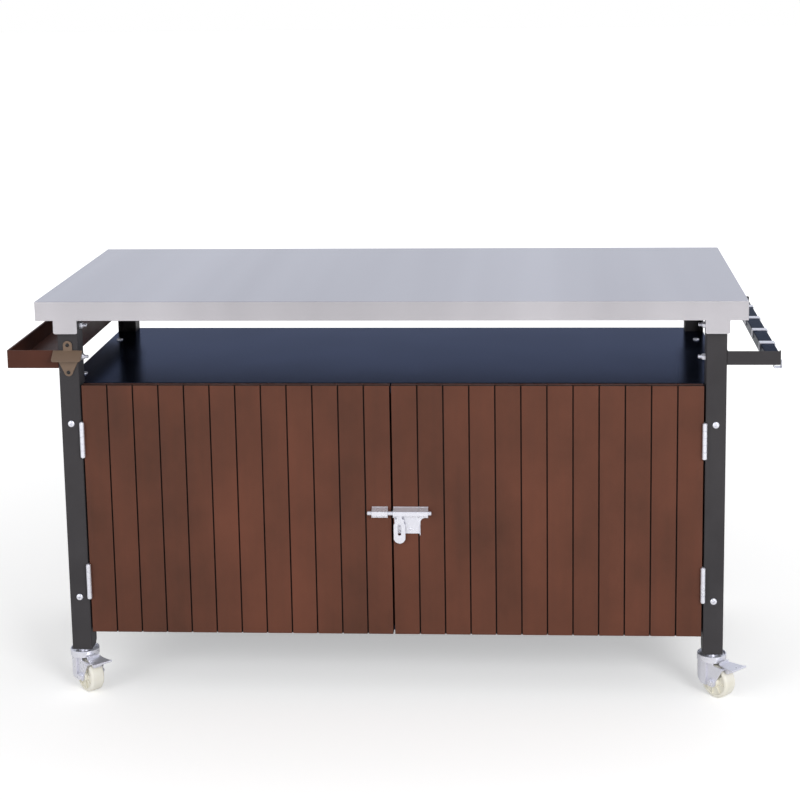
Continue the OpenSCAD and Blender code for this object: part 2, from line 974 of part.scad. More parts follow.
module hinge_pins() {
    color(zinc)
        both_ends()
            at_hinges() {
                cylinder(d = pin_d, h = hinge_l, $fn = 48);
                for (z = [-1.2, hinge_l])
                    translate([0, 0, z])
                        cylinder(d = pin_d + 1.6, h = 1.2, $fn = 48);
            }
}

// Doors: tongued and grooved planks on three battens

module plank_section(i) {
    seam = 0.2;
    x0 = i == 0 ? 0 : groove_w / 2;
    x1 = i == planks - 1 ? plank_pitch : plank_pitch - groove_w / 2;
    w = i == planks - 1 ? plank_pitch : plank_pitch - seam;
    mid = (plank_t + groove_d) / 2;
    difference() {
        union() {
            translate([x0, 0])
                square([x1 - x0, groove_d + eps]);
            translate([0, groove_d])
                square([w, plank_t - groove_d]);
            if (i < planks - 1)
                translate([w - eps, mid - tongue_t / 2])
                    square([tongue + eps, tongue_t]);
        }
        if (i > 0)
            translate([-1, mid - tongue_t / 2 - 0.2])
                square([tongue + 1.5, tongue_t + 0.4]);
    }
}

module door_planks(bores) {
    color(brown)
        difference() {
            for (i = [0:planks - 1])
                translate([door_in_x + i * plank_pitch, leg_front_y, door_z0])
                    linear_extrude(door_h)
                        plank_section(i);
            for (b = bores)
                translate([b[0], leg_front_y - 1, rod_z + b[1]])
                    rotate([-90, 0, 0])
                        cylinder(d = latch_hole, h = 14, $fn = 32);
        }
}

module door_battens() {
    inset = 30;
    color(brown)
        for (z = batten_zs)
            box(door_in_x + inset, door_out_x - inset, door_back_y, door_back_y + batten_t,
                z, z + batten_h);
}

module right_door_planks() {
    door_planks(guide_screws);
}

module right_door_battens() {
    door_battens();
}

module left_door_planks() {
    mirror([1, 0, 0])
        door_planks([for (k = keep_screws) [-k[0], k[1]]]);
}

module left_door_battens() {
    mirror([1, 0, 0])
        door_battens();
}

// Latch: the bolt slides in a guide on the right door and into a keeper on the left

module housing_cover() {
    a = guide_h / 2;
    f = guide_face / 2;
    o = guide_out;
    t = latch_t;
    polygon([[0, a], [o, f], [o, -f], [o - t, -f], [o - t, f - 0.55 * t], [0, a - 1.12 * t]]);
}

module housing_cheek(hole_d) {
    a = guide_h / 2;
    f = guide_face / 2;
    difference() {
        polygon([[0, a], [guide_out, f], [guide_out, -f - 3.5], [0, -a]]);
        translate([leg_front_y - rod_y, 0])
            circle(d = hole_d, $fn = 48);
    }
}

// Drawn with x out of the door and y up, then stood against the door front
module on_door_front(x) {
    translate([x, leg_front_y, rod_z])
        rotate([90, 0, -90])
            children();
}

module housing(x0, x1, hole_d) {
    on_door_front(x1)
        linear_extrude(x1 - x0)
            housing_cover();
    for (x = [x0 + latch_t, x1])
        on_door_front(x)
            linear_extrude(latch_t)
                housing_cheek(hole_d);
    box(x0, x1, leg_front_y - latch_t, leg_front_y, rod_z - guide_h / 2, rod_z + guide_h / 2);
}

module latch_bores(spots) {
    for (p = spots)
        translate([p[0], leg_front_y + 1, rod_z + p[1]])
            rotate([90, 0, 0])
                cylinder(d = latch_hole, h = latch_t + 2, $fn = 32);
}

module latch_fixings(spots) {
    color(zinc)
        for (p = spots)
            translate([p[0], leg_front_y - latch_t, rod_z + p[1]])
                rotate([90, 0, 0])
                    pan_screw(5.6, 1.4, latch_hole - 2 * fit, 12);
}

module latch_keeper() {
    color(zinc)
        difference() {
            housing(keeper_x0, keeper_x1, rod_d + 1);
            latch_bores(keep_screws);
        }
}

module keeper_screws() {
    latch_fixings(keep_screws);
}

// The plate under the guide sweeps into it and has a small lip at its lower corner
module latch_guide() {
    lip_h = 22;
    color(zinc)
        difference() {
            union() {
                housing(guide_x0, guide_x1, rod_d + 2 * fit);
                translate([0, leg_front_y, rod_z])
                    rotate([90, 0, 0])
                        linear_extrude(latch_t)
                            latch_plate();
                box(plate_x1 - latch_t, plate_x1, leg_front_y - 5, leg_front_y,
                    rod_z - plate_drop - 3, rod_z - plate_drop - 3 + lip_h);
            }
            latch_bores(guide_screws);
        }
}

module latch_plate() {
    sweep = 11;
    below = guide_h / 2;
    translate([plate_x0, -plate_drop])
        square([plate_w, plate_drop]);
    difference() {
        translate([plate_x1 - 1, -below - sweep])
            square([sweep - 1, sweep + 1]);
        translate([plate_x1 + sweep, -below - sweep])
            circle(r = sweep, $fn = 48);
    }
}

module latch_screws() {
    latch_fixings(guide_screws);
}

module latch_rod() {
    neck_x0 = handle_x - eye_w / 2;
    color(zinc)
        translate([rod_x0, rod_y, rod_z])
            rotate([0, 90, 0])
                rotate_extrude($fn = 48)
                    polygon([
                        [0, 0], [rod_d / 2 - 1.2, 0], [rod_d / 2, 1.2],
                        [rod_d / 2, neck_x0 - rod_x0], [neck_d / 2, neck_x0 - rod_x0],
                        [neck_d / 2, neck_x0 + eye_w - rod_x0], [rod_d / 2, neck_x0 + eye_w - rod_x0],
                        [rod_d / 2, rod_l - 1.2], [rod_d / 2 - 1.2, rod_l], [0, rod_l]
                    ]);
}

module handle_outline() {
    r = handle_w / 2;
    neck = 10;
    translate([-eye_w / 2 + fit, -14])
        square([eye_w - 2 * fit, 14]);
    polygon([
        [-neck, -13], [neck, -13], [neck, -22], [r, -26], [r, -handle_drop + r],
        [-r, -handle_drop + r], [-r, -26], [-neck, -22]
    ]);
    translate([0, -handle_drop + r])
        circle(r = r, $fn = 64);
}

module latch_handle() {
    slot_r = slot_w / 2;
    slot_v = 25.3;
    color(zinc)
        translate([handle_x, rod_y, rod_z])
            difference() {
                union() {
                    translate([0, handle_t / 2, 0])
                        rotate([90, 0, 0])
                            linear_extrude(handle_t)
                                difference() {
                                    handle_outline();
                                    translate([-slot_r, -slot_v - slot_l + slot_r])
                                        square([slot_w, slot_l - slot_w]);
                                    for (v = [slot_v + slot_r, slot_v + slot_l - slot_r])
                                        translate([0, -v])
                                            circle(r = slot_r, $fn = 32);
                                }
                    translate([-eye_w / 2 + fit, 0, 0])
                        rotate([0, 90, 0])
                            cylinder(d = eye_d, h = eye_w - 2 * fit, $fn = 48);
                }
                translate([-eye_w, 0, 0])
                    rotate([0, 90, 0])
                        cylinder(d = neck_d + 2 * fit, h = 2 * eye_w, $fn = 48);
            }
}

// Casters, drawn with their trail along +X and the swivel axis at the origin

module caster_at(side, front) {
    translate([side * leg_x, front ? front_leg_y : rear_leg_y, 0])
        rotate([0, 0, caster_turn - 90])
            children();
}

module crown() {
    rotate_extrude($fn = 64)
        polygon([
            [stem_d / 2 + fit, crown_plate_z], [crown_d / 2 - fork_t, crown_plate_z],
            [crown_d / 2 - fork_t, crown_z], [crown_d / 2, crown_z],
            [crown_d / 2, crown_top - 1], [crown_d / 2 - 1, crown_top],
            [crown_d / 2 - fork_t, crown_top], [crown_d / 2 - fork_t - 1.5, crown_plate_z + fork_t],
            [stem_d / 2 + fit, crown_plate_z + fork_t]
        ]);
}

module fork_side() {
    axle_r = 11;
    ear = 4.2;
    top = crown_plate_z + 1;
    in_u = sqrt(pow(crown_d / 2, 2) - pow(fork_half, 2)) - 0.5;
    difference() {
        union() {
            polygon([
                [crease_u - fork_t, top], [crease_u - fork_t, wheel_r - 9], [trail - 1, wheel_r - axle_r + 0.2],
                [trail + axle_r - 0.3, wheel_r + 2], [pedal_u + ear - 0.2, pedal_z - 1],
                [pedal_u, pedal_z + ear - 0.1], [in_u + 3, pedal_z + ear - 0.1], [in_u, crown_z + 2],
                [in_u, top]
            ]);
            translate([trail, wheel_r])
                circle(r = axle_r, $fn = 48);
            translate([pedal_u, pedal_z])
                circle(r = ear, $fn = 32);
        }
        translate([trail, wheel_r])
            circle(d = axle_d + 2 * fit, $fn = 48);
        translate([pedal_u, pedal_z])
            circle(d = pin_small + 2 * fit, $fn = 32);
    }
}

module across(w) {
    translate([0, w, 0])
        rotate([90, 0, 0])
            children();
}

// The wall under the crown is bent round the back of the wheel and steps in to the two cheeks
module fork_wall_plan(r, end_u) {
    mid_u = wall_r - crown_d / 2;
    translate([mid_u, 0])
        circle(r = r, $fn = 96);
    translate([mid_u, -r])
        square([end_u - mid_u, 2 * r]);
}

module fork_wall() {
    low = wheel_r - 10;
    back = -crown_d / 2;
    intersection() {
        translate([0, 0, low - 1])
            linear_extrude(crown_plate_z + 2 - low)
                difference() {
                    fork_wall_plan(wall_r, crease_u);
                    fork_wall_plan(wall_r - fork_t, crease_u - fork_t);
                    translate([crease_u - 2 * fork_t, -fork_gap / 2])
                        square([3 * fork_t, fork_gap]);
                }
        across(wall_r + 1)
            linear_extrude(2 * wall_r + 2)
                polygon([
                    [back - 1, crown_plate_z + 2], [back - 1, wheel_r + 18.5], [back + 5, wheel_r + 12.5],
                    [back + 12, wheel_r + 2.5], [back + 25, wheel_r - 8], [crease_u, wheel_r - 9.5],
                    [crease_u, crown_plate_z + 2]
                ]);
    }
}

module fork() {
    color(zinc) {
        crown();
        fork_wall();
        for (w = [fork_half, -fork_half + fork_t])
            across(w)
                linear_extrude(fork_t)
                    fork_side();
    }
}

module pedal_pin() {
    color(zinc)
        translate([pedal_u, 0, pedal_z])
            across(fork_half + 1.5)
                cylinder(d = pin_small, h = 2 * fork_half + 3, $fn = 32);
}

// The axle is a hexagon-headed bolt whose nut is peened on, with a washer face at each end
module axle() {
    face = fork_half + 1.5;
    color(zinc)
        translate([trail, 0, wheel_r])
            rotate([90, 0, 0]) {
                translate([0, 0, -face - 9.5])
                    cylinder(d = axle_d, h = 2 * face + 9.5, $fn = 48);
                for (w = [-face, fork_half])
                    translate([0, 0, w])
                        cylinder(d = axle_d + 10, h = 1.5, $fn = 48);
                translate([0, 0, face - 0.5])
                    cylinder(d = bolt_af / cos(30), h = 6.8, $fn = 6);
                translate([0, 0, -face - 6.5])
                    cylinder(d = bolt_af / cos(30), h = 7, $fn = 6);
            }
}

module wheel() {
    half = wheel_w / 2;
    round = 6;
    hub_r = 12;
    hub_half = fork_gap / 2 - 0.6;
    rim_r = wheel_r - 8;
    color(nylon)
        translate([trail, 0, wheel_r])
            rotate([90, 0, 0])
                rotate_extrude($fn = 96)
                    difference() {
                        union() {
                            translate([axle_d / 2 + fit, -hub_half])
                                square([hub_r - axle_d / 2 - fit, 2 * hub_half]);
                            translate([axle_d / 2 + fit, -half])
                                square([wheel_r - round - axle_d / 2 - fit, wheel_w]);
                            translate([axle_d / 2 + fit, -half + round])
                                square([wheel_r - axle_d / 2 - fit, wheel_w - 2 * round]);
                            for (s = [-1, 1])
                                translate([wheel_r - round, s * (half - round)])
                                    circle(r = round, $fn = 32);
                        }
                        for (s = [-1, 1])
                            translate([(hub_r + rim_r) / 2, s * half])
                                square([rim_r - hub_r, 8], center = true);
                    }
}

// The shoe under the pedal is cut to the tread it is pressed on
module pedal_shoe() {
    du = pedal_u - trail;
    dz = pedal_z - wheel_r;
    turn = pedal_press;
    difference() {
        translate([1, -9])
            square([10, 9 + 7]);
        translate([dz * sin(turn) - du * cos(turn), -du * sin(turn) - dz * cos(turn)])
            circle(r = wheel_r + 0.3, $fn = 96);
    }
}

// The plate widens outwards to a rolled edge, and its inner edge is turned up
module pedal() {
    low = 6;
    plate = 2;
    in_x = crown_d / 2 + 2.5 - pedal_u;
    out_x = pedal_reach - 2.6 - pedal_u;
    hub_w = fork_gap - 1.2;
    color(zinc)
        translate([pedal_u, 0, pedal_z])
            difference() {
                union() {
                    translate([0, 0, low])
                        linear_extrude(plate)
                            polygon([
                                [in_x, -15], [out_x, -pedal_w / 2], [out_x, pedal_w / 2], [in_x, 15]
                            ]);
                    translate([out_x, 0, low + 1.2])
                        across(pedal_w / 2)
                            cylinder(r = 2.6, h = pedal_w, $fn = 48);
                    translate([in_x, -15, low])
                        cube([1.8, 30, 7]);
                    across(hub_w / 2)
                        cylinder(d = 7, h = hub_w, $fn = 48);
                    across(10)
                        linear_extrude(20)
                            pedal_shoe();
                    translate([-2.5, -10, 0])
                        cube([5, 20, low + 1]);
                }
                across(fork_gap)
                    cylinder(d = pin_small + 2 * fit, h = 2 * fork_gap, $fn = 32);
            }
}

module front_left_fork() {
    caster_at(-1, true)
        fork();
}

module front_right_fork() {
    caster_at(1, true)
        fork();
}

module rear_left_fork() {
    caster_at(-1, false)
        fork();
}

module rear_right_fork() {
    caster_at(1, false)
        fork();
}

module front_left_axle() {
    caster_at(-1, true)
        axle();
}

module front_left_wheel() {
    caster_at(-1, true)
        wheel();
}

module rear_left_axle() {
    caster_at(-1, false)
        axle();
}

module rear_left_wheel() {
    caster_at(-1, false)
        wheel();
}

module front_left_pedal_pin() {
    caster_at(-1, true)
        pedal_pin();
}

module front_right_pedal_pin() {
    caster_at(1, true)
        pedal_pin();
}

module front_left_pedal() {
    caster_at(-1, true)
        pedal();
}

module front_right_axle() {
    caster_at(1, true)
        axle();
}

module front_right_wheel() {
    caster_at(1, true)
        wheel();
}

module rear_right_axle() {
    caster_at(1, false)
        axle();
}

module rear_right_wheel() {
    caster_at(1, false)
        wheel();
}

module front_right_pedal() {
    caster_at(1, true)
        pedal();
}

worktop();
top_stiffeners();
corner_brackets();
front_left_leg();
front_right_leg();
rear_left_leg();
rear_right_leg();
foot_plates();
caster_stems();
middle_shelf();
left_side_panel();
right_side_panel();
back_panel();
cabinet_floor();
door_stop();
side_tray();
front_rail_arm();
rear_rail_arm();
hook_rail();
bottle_opener();
leg_bolts();
leg_nuts();
pan_head_screws();
small_screws();
leg_hinge_leaves();
hinge_pins();
left_door_planks();
left_door_battens();
left_door_hinge_leaves();
latch_keeper();
keeper_screws();
right_door_planks();
right_door_battens();
right_door_hinge_leaves();
latch_guide();
latch_screws();
latch_rod();
latch_handle();
hook_1();
hook_2();
hook_3();
hook_4();
front_left_fork();
front_right_fork();
rear_left_fork();
rear_right_fork();
front_left_axle();
front_right_axle();
rear_left_axle();
rear_right_axle();
front_left_wheel();
front_right_wheel();
rear_left_wheel();
rear_right_wheel();
front_left_pedal_pin();
front_right_pedal_pin();
front_left_pedal();
front_right_pedal();
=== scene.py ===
# %% [markdown]
# # A grill cart
# The cart is a folded steel table on casters, with a planked cupboard under it. This lesson dresses its
# solid model: first the camera, the floor and the lights, then one finish after another, then the pieces
# that need more detail than the solids have.

# %% Load the solid model
import json
import math

import bmesh
import bpy
from mathutils import Matrix, Vector


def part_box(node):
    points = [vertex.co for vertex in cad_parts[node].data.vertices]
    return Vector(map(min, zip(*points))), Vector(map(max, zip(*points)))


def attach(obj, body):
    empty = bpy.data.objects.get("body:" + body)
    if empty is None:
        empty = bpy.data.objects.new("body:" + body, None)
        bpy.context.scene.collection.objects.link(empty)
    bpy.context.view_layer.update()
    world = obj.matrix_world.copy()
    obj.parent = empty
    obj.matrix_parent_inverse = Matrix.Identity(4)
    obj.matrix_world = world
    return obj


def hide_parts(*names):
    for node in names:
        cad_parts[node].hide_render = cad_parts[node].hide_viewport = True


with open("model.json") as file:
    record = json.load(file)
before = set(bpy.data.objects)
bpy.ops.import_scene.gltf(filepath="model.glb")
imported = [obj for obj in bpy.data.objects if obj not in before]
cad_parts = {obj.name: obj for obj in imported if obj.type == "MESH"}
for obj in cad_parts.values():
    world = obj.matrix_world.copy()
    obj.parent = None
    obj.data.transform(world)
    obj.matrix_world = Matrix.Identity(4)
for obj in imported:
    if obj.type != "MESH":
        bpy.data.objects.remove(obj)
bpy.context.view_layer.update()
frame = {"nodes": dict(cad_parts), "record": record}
nodes = frame["nodes"]

# %% [markdown]
# New pieces sit where the solids are, so the main places are measured on the solids. A mesh holds its
# numbers with seven digits, and rounding turns them back into the sizes that were drawn.

# %% Places on the cart
def solid_corners(node):
    low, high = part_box(node)
    return [round(value, 5) for value in low], [round(value, 5) for value in high]


def halfway(low, high):
    return round((low + high) / 2, 5)


front_leg_low, front_leg_high = solid_corners("front_right_leg")
rear_leg_low, rear_leg_high = solid_corners("rear_right_leg")
LEG_INSIDE = front_leg_low[0]
LEG_OUTSIDE = front_leg_high[0]
LEG_FRONT = front_leg_low[1]
LEG_X = halfway(LEG_INSIDE, LEG_OUTSIDE)
FRONT_LEG_Y = halfway(front_leg_low[1], front_leg_high[1])
REAR_LEG_Y = halfway(rear_leg_low[1], rear_leg_high[1])
SHELF_TOP = solid_corners("middle_shelf")[1][2]
CORNERS = {
    "front_left": (-1, FRONT_LEG_Y),
    "front_right": (1, FRONT_LEG_Y),
    "rear_left": (-1, REAR_LEG_Y),
    "rear_right": (1, REAR_LEG_Y),
}
print("legs:", LEG_X, FRONT_LEG_Y, REAR_LEG_Y, "from", LEG_INSIDE, "to", LEG_OUTSIDE, "front", LEG_FRONT)
print("shelf:", SHELF_TOP)

# %% [markdown]
# The photograph was taken from the right of the cart, above the worktop and a long way off. A long lens
# keeps the legs nearly upright, and a small lens shift keeps the cart in the middle of a camera that
# looks past it. The focal length was found in pixels of the photograph, and the angles are in radians.

# %% Camera
PHOTO_WIDTH = 800
FOCAL_LENGTH = 1759.78
SENSOR_WIDTH = 36
CAMERA_PLACE = (0.320753, -3.964053, 1.637954)
TURNED_LEFT = 0.052291
LOOKING_DOWN = 0.166904
ROLLED = -0.01196

camera_data = bpy.data.cameras.new("studio_camera")
camera = bpy.data.objects.new("studio_camera", camera_data)
bpy.context.collection.objects.link(camera)
camera_data.sensor_width = SENSOR_WIDTH
camera_data.lens = FOCAL_LENGTH / PHOTO_WIDTH * SENSOR_WIDTH
camera_data.shift_x = -0.06
camera_data.shift_y = -0.20
camera_data.clip_end = 100
heading = Matrix.Rotation(TURNED_LEFT, 4, "Z")
tilt = Matrix.Rotation(math.pi / 2 - LOOKING_DOWN, 4, "X")
turn = heading @ tilt @ Matrix.Rotation(ROLLED, 4, "Z")
camera.matrix_world = Matrix.Translation(CAMERA_PLACE) @ turn
bpy.context.scene.camera = camera
print("lens", round(camera_data.lens, 2), "mm")

# %% [markdown]
# Every finish is a tree of nodes round one surface shader. Two small helpers keep the trees short: one
# makes the material, and one adds a Math node, whose values are numbers or the outputs of other nodes.

# %% Helpers for materials
def new_material(name):
    material = bpy.data.materials.new(name)
    material.use_nodes = True
    tree = material.node_tree
    return material, tree, tree.nodes["Principled BSDF"]


def calculated(tree, operation, *values):
    step = tree.nodes.new("ShaderNodeMath")
    step.operation = operation
    for socket, value in zip(step.inputs, values):
        if isinstance(value, bpy.types.NodeSocket):
            tree.links.new(value, socket)
        else:
            socket.default_value = value
    return step.outputs[0]


# %% [markdown]
# A product picture has a white floor that runs into a white backdrop. The floor adds a little light of
# its own for the camera, and less for mirror images. It adds more of it farther out, so that it comes out
# white there and still keeps the cart's soft shadow.

# %% Floor
FLOOR_REACH = 30
GLOW_IN_MIRRORS = 0.6
NEAR, GLOW_NEAR = 0.6, 0.38
FAR, GLOW_FAR = 4.5, 0.78


def white_floor():
    material, tree, surface = new_material("white_floor")
    surface.inputs["Base Color"].default_value = (0.86, 0.86, 0.86, 1)
    surface.inputs["Roughness"].default_value = 0.9
    path = tree.nodes.new("ShaderNodeLightPath")
    mirrored, in_view = path.outputs["Is Glossy Ray"], path.outputs["Is Camera Ray"]
    seen = calculated(tree, "MULTIPLY_ADD", mirrored, GLOW_IN_MIRRORS, in_view)
    place = tree.nodes.new("ShaderNodeTexCoord")
    distance = tree.nodes.new("ShaderNodeVectorMath")
    distance.operation = "LENGTH"
    tree.links.new(place.outputs["Object"], distance.inputs[0])
    outwards = tree.nodes.new("ShaderNodeMapRange")
    outwards.interpolation_type = "SMOOTHSTEP"
    outwards.inputs["From Min"].default_value = NEAR
    outwards.inputs["From Max"].default_value = FAR
    outwards.inputs["To Min"].default_value = GLOW_NEAR
    outwards.inputs["To Max"].default_value = GLOW_FAR
    tree.links.new(distance.outputs["Value"], outwards.inputs["Value"])
    glow = tree.nodes.new("ShaderNodeEmission")
    glow.inputs["Color"].default_value = (1, 1, 1, 1)
    tree.links.new(calculated(tree, "MULTIPLY", seen, outwards.outputs["Result"]), glow.inputs["Strength"])
    both = tree.nodes.new("ShaderNodeAddShader")
    tree.links.new(surface.outputs[0], both.inputs[0])
    tree.links.new(glow.outputs[0], both.inputs[1])
    tree.links.new(both.outputs[0], tree.nodes["Material Output"].inputs["Surface"])
    return material


floor_bm = bmesh.new()
bmesh.ops.create_grid(floor_bm, x_segments=1, y_segments=1, size=FLOOR_REACH)
floor_mesh = bpy.data.meshes.new("studio_floor")
floor_bm.to_mesh(floor_mesh)
floor_bm.free()
studio_floor = bpy.data.objects.new("studio_floor", floor_mesh)
bpy.context.collection.objects.link(studio_floor)
floor_mesh.materials.append(white_floor())
print("floor:", 2 * FLOOR_REACH, "m square")

# %% [markdown]
# The world is the white backdrop that the camera and the shiny parts see, and at the same time a dimmer,
# even light on everything. What the shiny parts see of it is a little blue, like daylight.

# %% World
ROOM_LIGHT = 0.50
MORE_IN_MIRRORS = 0.42
DAYLIGHT = (0.86, 0.90, 1, 1)

world = bpy.data.worlds.new("white_room")
bpy.context.scene.world = world
world.use_nodes = True
room = world.node_tree
backdrop = room.nodes["Background"]
room_path = room.nodes.new("ShaderNodeLightPath")
in_view, mirrored = room_path.outputs["Is Camera Ray"], room_path.outputs["Is Glossy Ray"]
tint = room.nodes.new("ShaderNodeMix")
tint.data_type = "RGBA"
tint.inputs["A"].default_value = (1, 1, 1, 1)
tint.inputs["B"].default_value = DAYLIGHT
room.links.new(mirrored, tint.inputs["Factor"])
room.links.new(tint.outputs["Result"], backdrop.inputs["Color"])
white = calculated(room, "MAXIMUM", in_view, room_path.outputs["Is Transmission Ray"])
dimmer = calculated(room, "MULTIPLY_ADD", mirrored, MORE_IN_MIRRORS, ROOM_LIGHT)
room.links.new(calculated(room, "MAXIMUM", white, dimmer), backdrop.inputs["Strength"])
bpy.context.scene.view_settings.view_transform = "Standard"
print("world:", ROOM_LIGHT, "and in mirrors", ROOM_LIGHT + MORE_IN_MIRRORS)

# %% [markdown]
# Three large soft lamps give the cart its shape: a key from the upper right, a fill from the left, and a
# weak one above and behind it for the edges.

# %% Lamps
def soft_lamp(name, place, target, size, watts):
    data = bpy.data.lights.new(name, "AREA")
    data.shape = "SQUARE"
    data.size = size
    data.energy = watts
    lamp = bpy.data.objects.new(name, data)
    bpy.context.collection.objects.link(lamp)
    direction = Vector(target) - Vector(place)
    lamp.matrix_world = Matrix.Translation(place) @ direction.to_track_quat("-Z", "Y").to_matrix().to_4x4()
    print(name, watts, "W")


soft_lamp("key_lamp", place=(2.5, -4.2, 2.5), target=(0, 0, 0.5), size=1.9, watts=110)
soft_lamp("fill_lamp", place=(-3.0, -3.8, 1.7), target=(0, 0, 0.5), size=2.2, watts=52)
soft_lamp("edge_lamp", place=(0.4, 2.0, 4.2), target=(0, 0, 0.6), size=2.2, watts=20)

# %% [markdown]
# The patterns of the finishes read Object coordinates, so they keep their real scale and stay on the
# piece when it moves. The helpers below stretch a noise along one axis, turn it into a shade of the
# colour, and turn it into tiny bumps.

# %% Noise helpers
def noise(tree, scale, stretch=(1, 1, 1), detail=3, rough=0.5):
    place = tree.nodes.new("ShaderNodeTexCoord")
    mapping = tree.nodes.new("ShaderNodeMapping")
    mapping.inputs["Scale"].default_value = stretch
    tree.links.new(place.outputs["Object"], mapping.inputs["Vector"])
    cloud = tree.nodes.new("ShaderNodeTexNoise")
    cloud.inputs["Scale"].default_value = scale
    cloud.inputs["Detail"].default_value = detail
    cloud.inputs["Roughness"].default_value = rough
    tree.links.new(mapping.outputs[0], cloud.inputs["Vector"])
    return cloud.outputs["Fac"]


def spread(tree, value, low, high, from_low=0.3, from_high=0.7):
    remap = tree.nodes.new("ShaderNodeMapRange")
    remap.inputs["From Min"].default_value = from_low
    remap.inputs["From Max"].default_value = from_high
    remap.inputs["To Min"].default_value = low
    remap.inputs["To Max"].default_value = high
    tree.links.new(value, remap.inputs["Value"])
    return remap.outputs["Result"]


def blend_colours(tree, value, dark, light, at_dark=0.3, at_light=0.7):
    ramp = tree.nodes.new("ShaderNodeValToRGB")
    ramp.color_ramp.elements[0].position = at_dark
    ramp.color_ramp.elements[0].color = (*dark, 1)
    ramp.color_ramp.elements[1].position = at_light
    ramp.color_ramp.elements[1].color = (*light, 1)
    tree.links.new(value, ramp.inputs["Fac"])
    return ramp.outputs["Color"]


def bumps(tree, surface, value, depth, strength):
    bump = tree.nodes.new("ShaderNodeBump")
    bump.inputs["Distance"].default_value = depth
    bump.inputs["Strength"].default_value = strength
    tree.links.new(value, bump.inputs["Height"])
    tree.links.new(bump.outputs["Normal"], surface.inputs["Normal"])


def srgb(r, g, b):
    return tuple(((c / 255 + 0.055) / 1.055) ** 2.4 if c > 10 else c / 3294.6 for c in (r, g, b))


# %% [markdown]
# Powder coat is a baked plastic skin on the legs, the panels and the tray. Close up it has a fine orange
# peel, which is a very small noise in the bumps, and a slight cloudiness in its gloss.

# %% Powder coat
CLOUDINESS = 0.05
PEEL_SCALE = 900
PEEL_DEPTH = 0.00012


def powder_coat(name, colour, roughness, gloss):
    material, tree, surface = new_material(name)
    surface.inputs["Specular IOR Level"].default_value = gloss
    darker = tuple(c * 0.88 for c in colour)
    lighter = tuple(c * 1.12 for c in colour)
    shade = blend_colours(tree, noise(tree, 9, detail=4), darker, lighter)
    tree.links.new(shade, surface.inputs["Base Color"])
    cloudy = spread(tree, noise(tree, 18), roughness - CLOUDINESS, roughness + CLOUDINESS)
    tree.links.new(cloudy, surface.inputs["Roughness"])
    bumps(tree, surface, noise(tree, PEEL_SCALE, detail=1), PEEL_DEPTH, 0.5)
    return material


charcoal_coat = powder_coat("charcoal_coat", srgb(62, 60, 62), roughness=0.46, gloss=0.10)
tray_coat = powder_coat("tray_coat", srgb(76, 43, 33), roughness=0.42, gloss=0.12)
bronze_coat = powder_coat("bronze_coat", srgb(116, 97, 82), roughness=0.40, gloss=0.25)
black_oxide = powder_coat("black_oxide", srgb(34, 34, 36), roughness=0.35, gloss=0.3)
print("powder coats:", charcoal_coat.name, tray_coat.name, bronze_coat.name, black_oxide.name)

# %% [markdown]
# The shelf and the cabinet floor have a smoother navy coat, and the hook rail a darker one of the same
# kind. It shows almost no colour of its own, only a dim blue mirror image of the room, in which the rear
# legs stand as dark stripes. A mostly metallic surface with a dark colour, and a blue tint at flat
# angles, does that.

# %% Navy coat
def navy_coat(name, edge_tint):
    material, tree, surface = new_material(name)
    surface.inputs["Metallic"].default_value = 0.9
    surface.inputs["Specular Tint"].default_value = (*edge_tint, 1)
    colour = blend_colours(tree, noise(tree, 7, detail=2), srgb(40, 45, 58), srgb(48, 53, 68))
    tree.links.new(colour, surface.inputs["Base Color"])
    tree.links.new(spread(tree, noise(tree, 4), 0.19, 0.22), surface.inputs["Roughness"])
    bumps(tree, surface, noise(tree, PEEL_SCALE, detail=1), PEEL_DEPTH, 0.04)
    return material


slate_coat = navy_coat("slate_coat", (0.39, 0.42, 0.52))
rail_coat = navy_coat("rail_coat", (0.31, 0.33, 0.36))
print("navy coats:", slate_coat.name, rail_coat.name)

# %% [markdown]
# The worktop is a brushed stainless sheet. Brushing leaves hair-fine scratches along its length, so the
# noise is stretched until it is lines, and the lines work on the gloss and the bumps. The sheet also has
# broad soft bands across it, where the rolls pressed it a little differently, and those change its colour
# slightly.

# %% Stainless sheet
def stainless_sheet():
    material, tree, surface = new_material("stainless_sheet")
    surface.inputs["Metallic"].default_value = 1.0
    lines = noise(tree, 60, stretch=(1, 28, 28), detail=5, rough=0.65)
    bands = noise(tree, 5, stretch=(1, 0.04, 0.04), detail=2, rough=0.5)
    shade = calculated(tree, "MULTIPLY_ADD", lines, 0.25, spread(tree, bands, 0.1, 0.65))
    colour = blend_colours(tree, shade, srgb(170, 167, 171), srgb(187, 184, 188), 0.2, 0.8)
    tree.links.new(colour, surface.inputs["Base Color"])
    streaks = noise(tree, 34, stretch=(1, 20, 20), detail=4, rough=0.6)
    tree.links.new(spread(tree, streaks, 0.2, 0.26), surface.inputs["Roughness"])
    bumps(tree, surface, lines, 0.00004, 0.06)
    return material


# %% [markdown]
# Zinc plate on the hinges, the latch, the bolts and the caster forks is brighter and whiter than the
# worktop. Its crystals show as faint patches, which a Voronoi pattern gives.

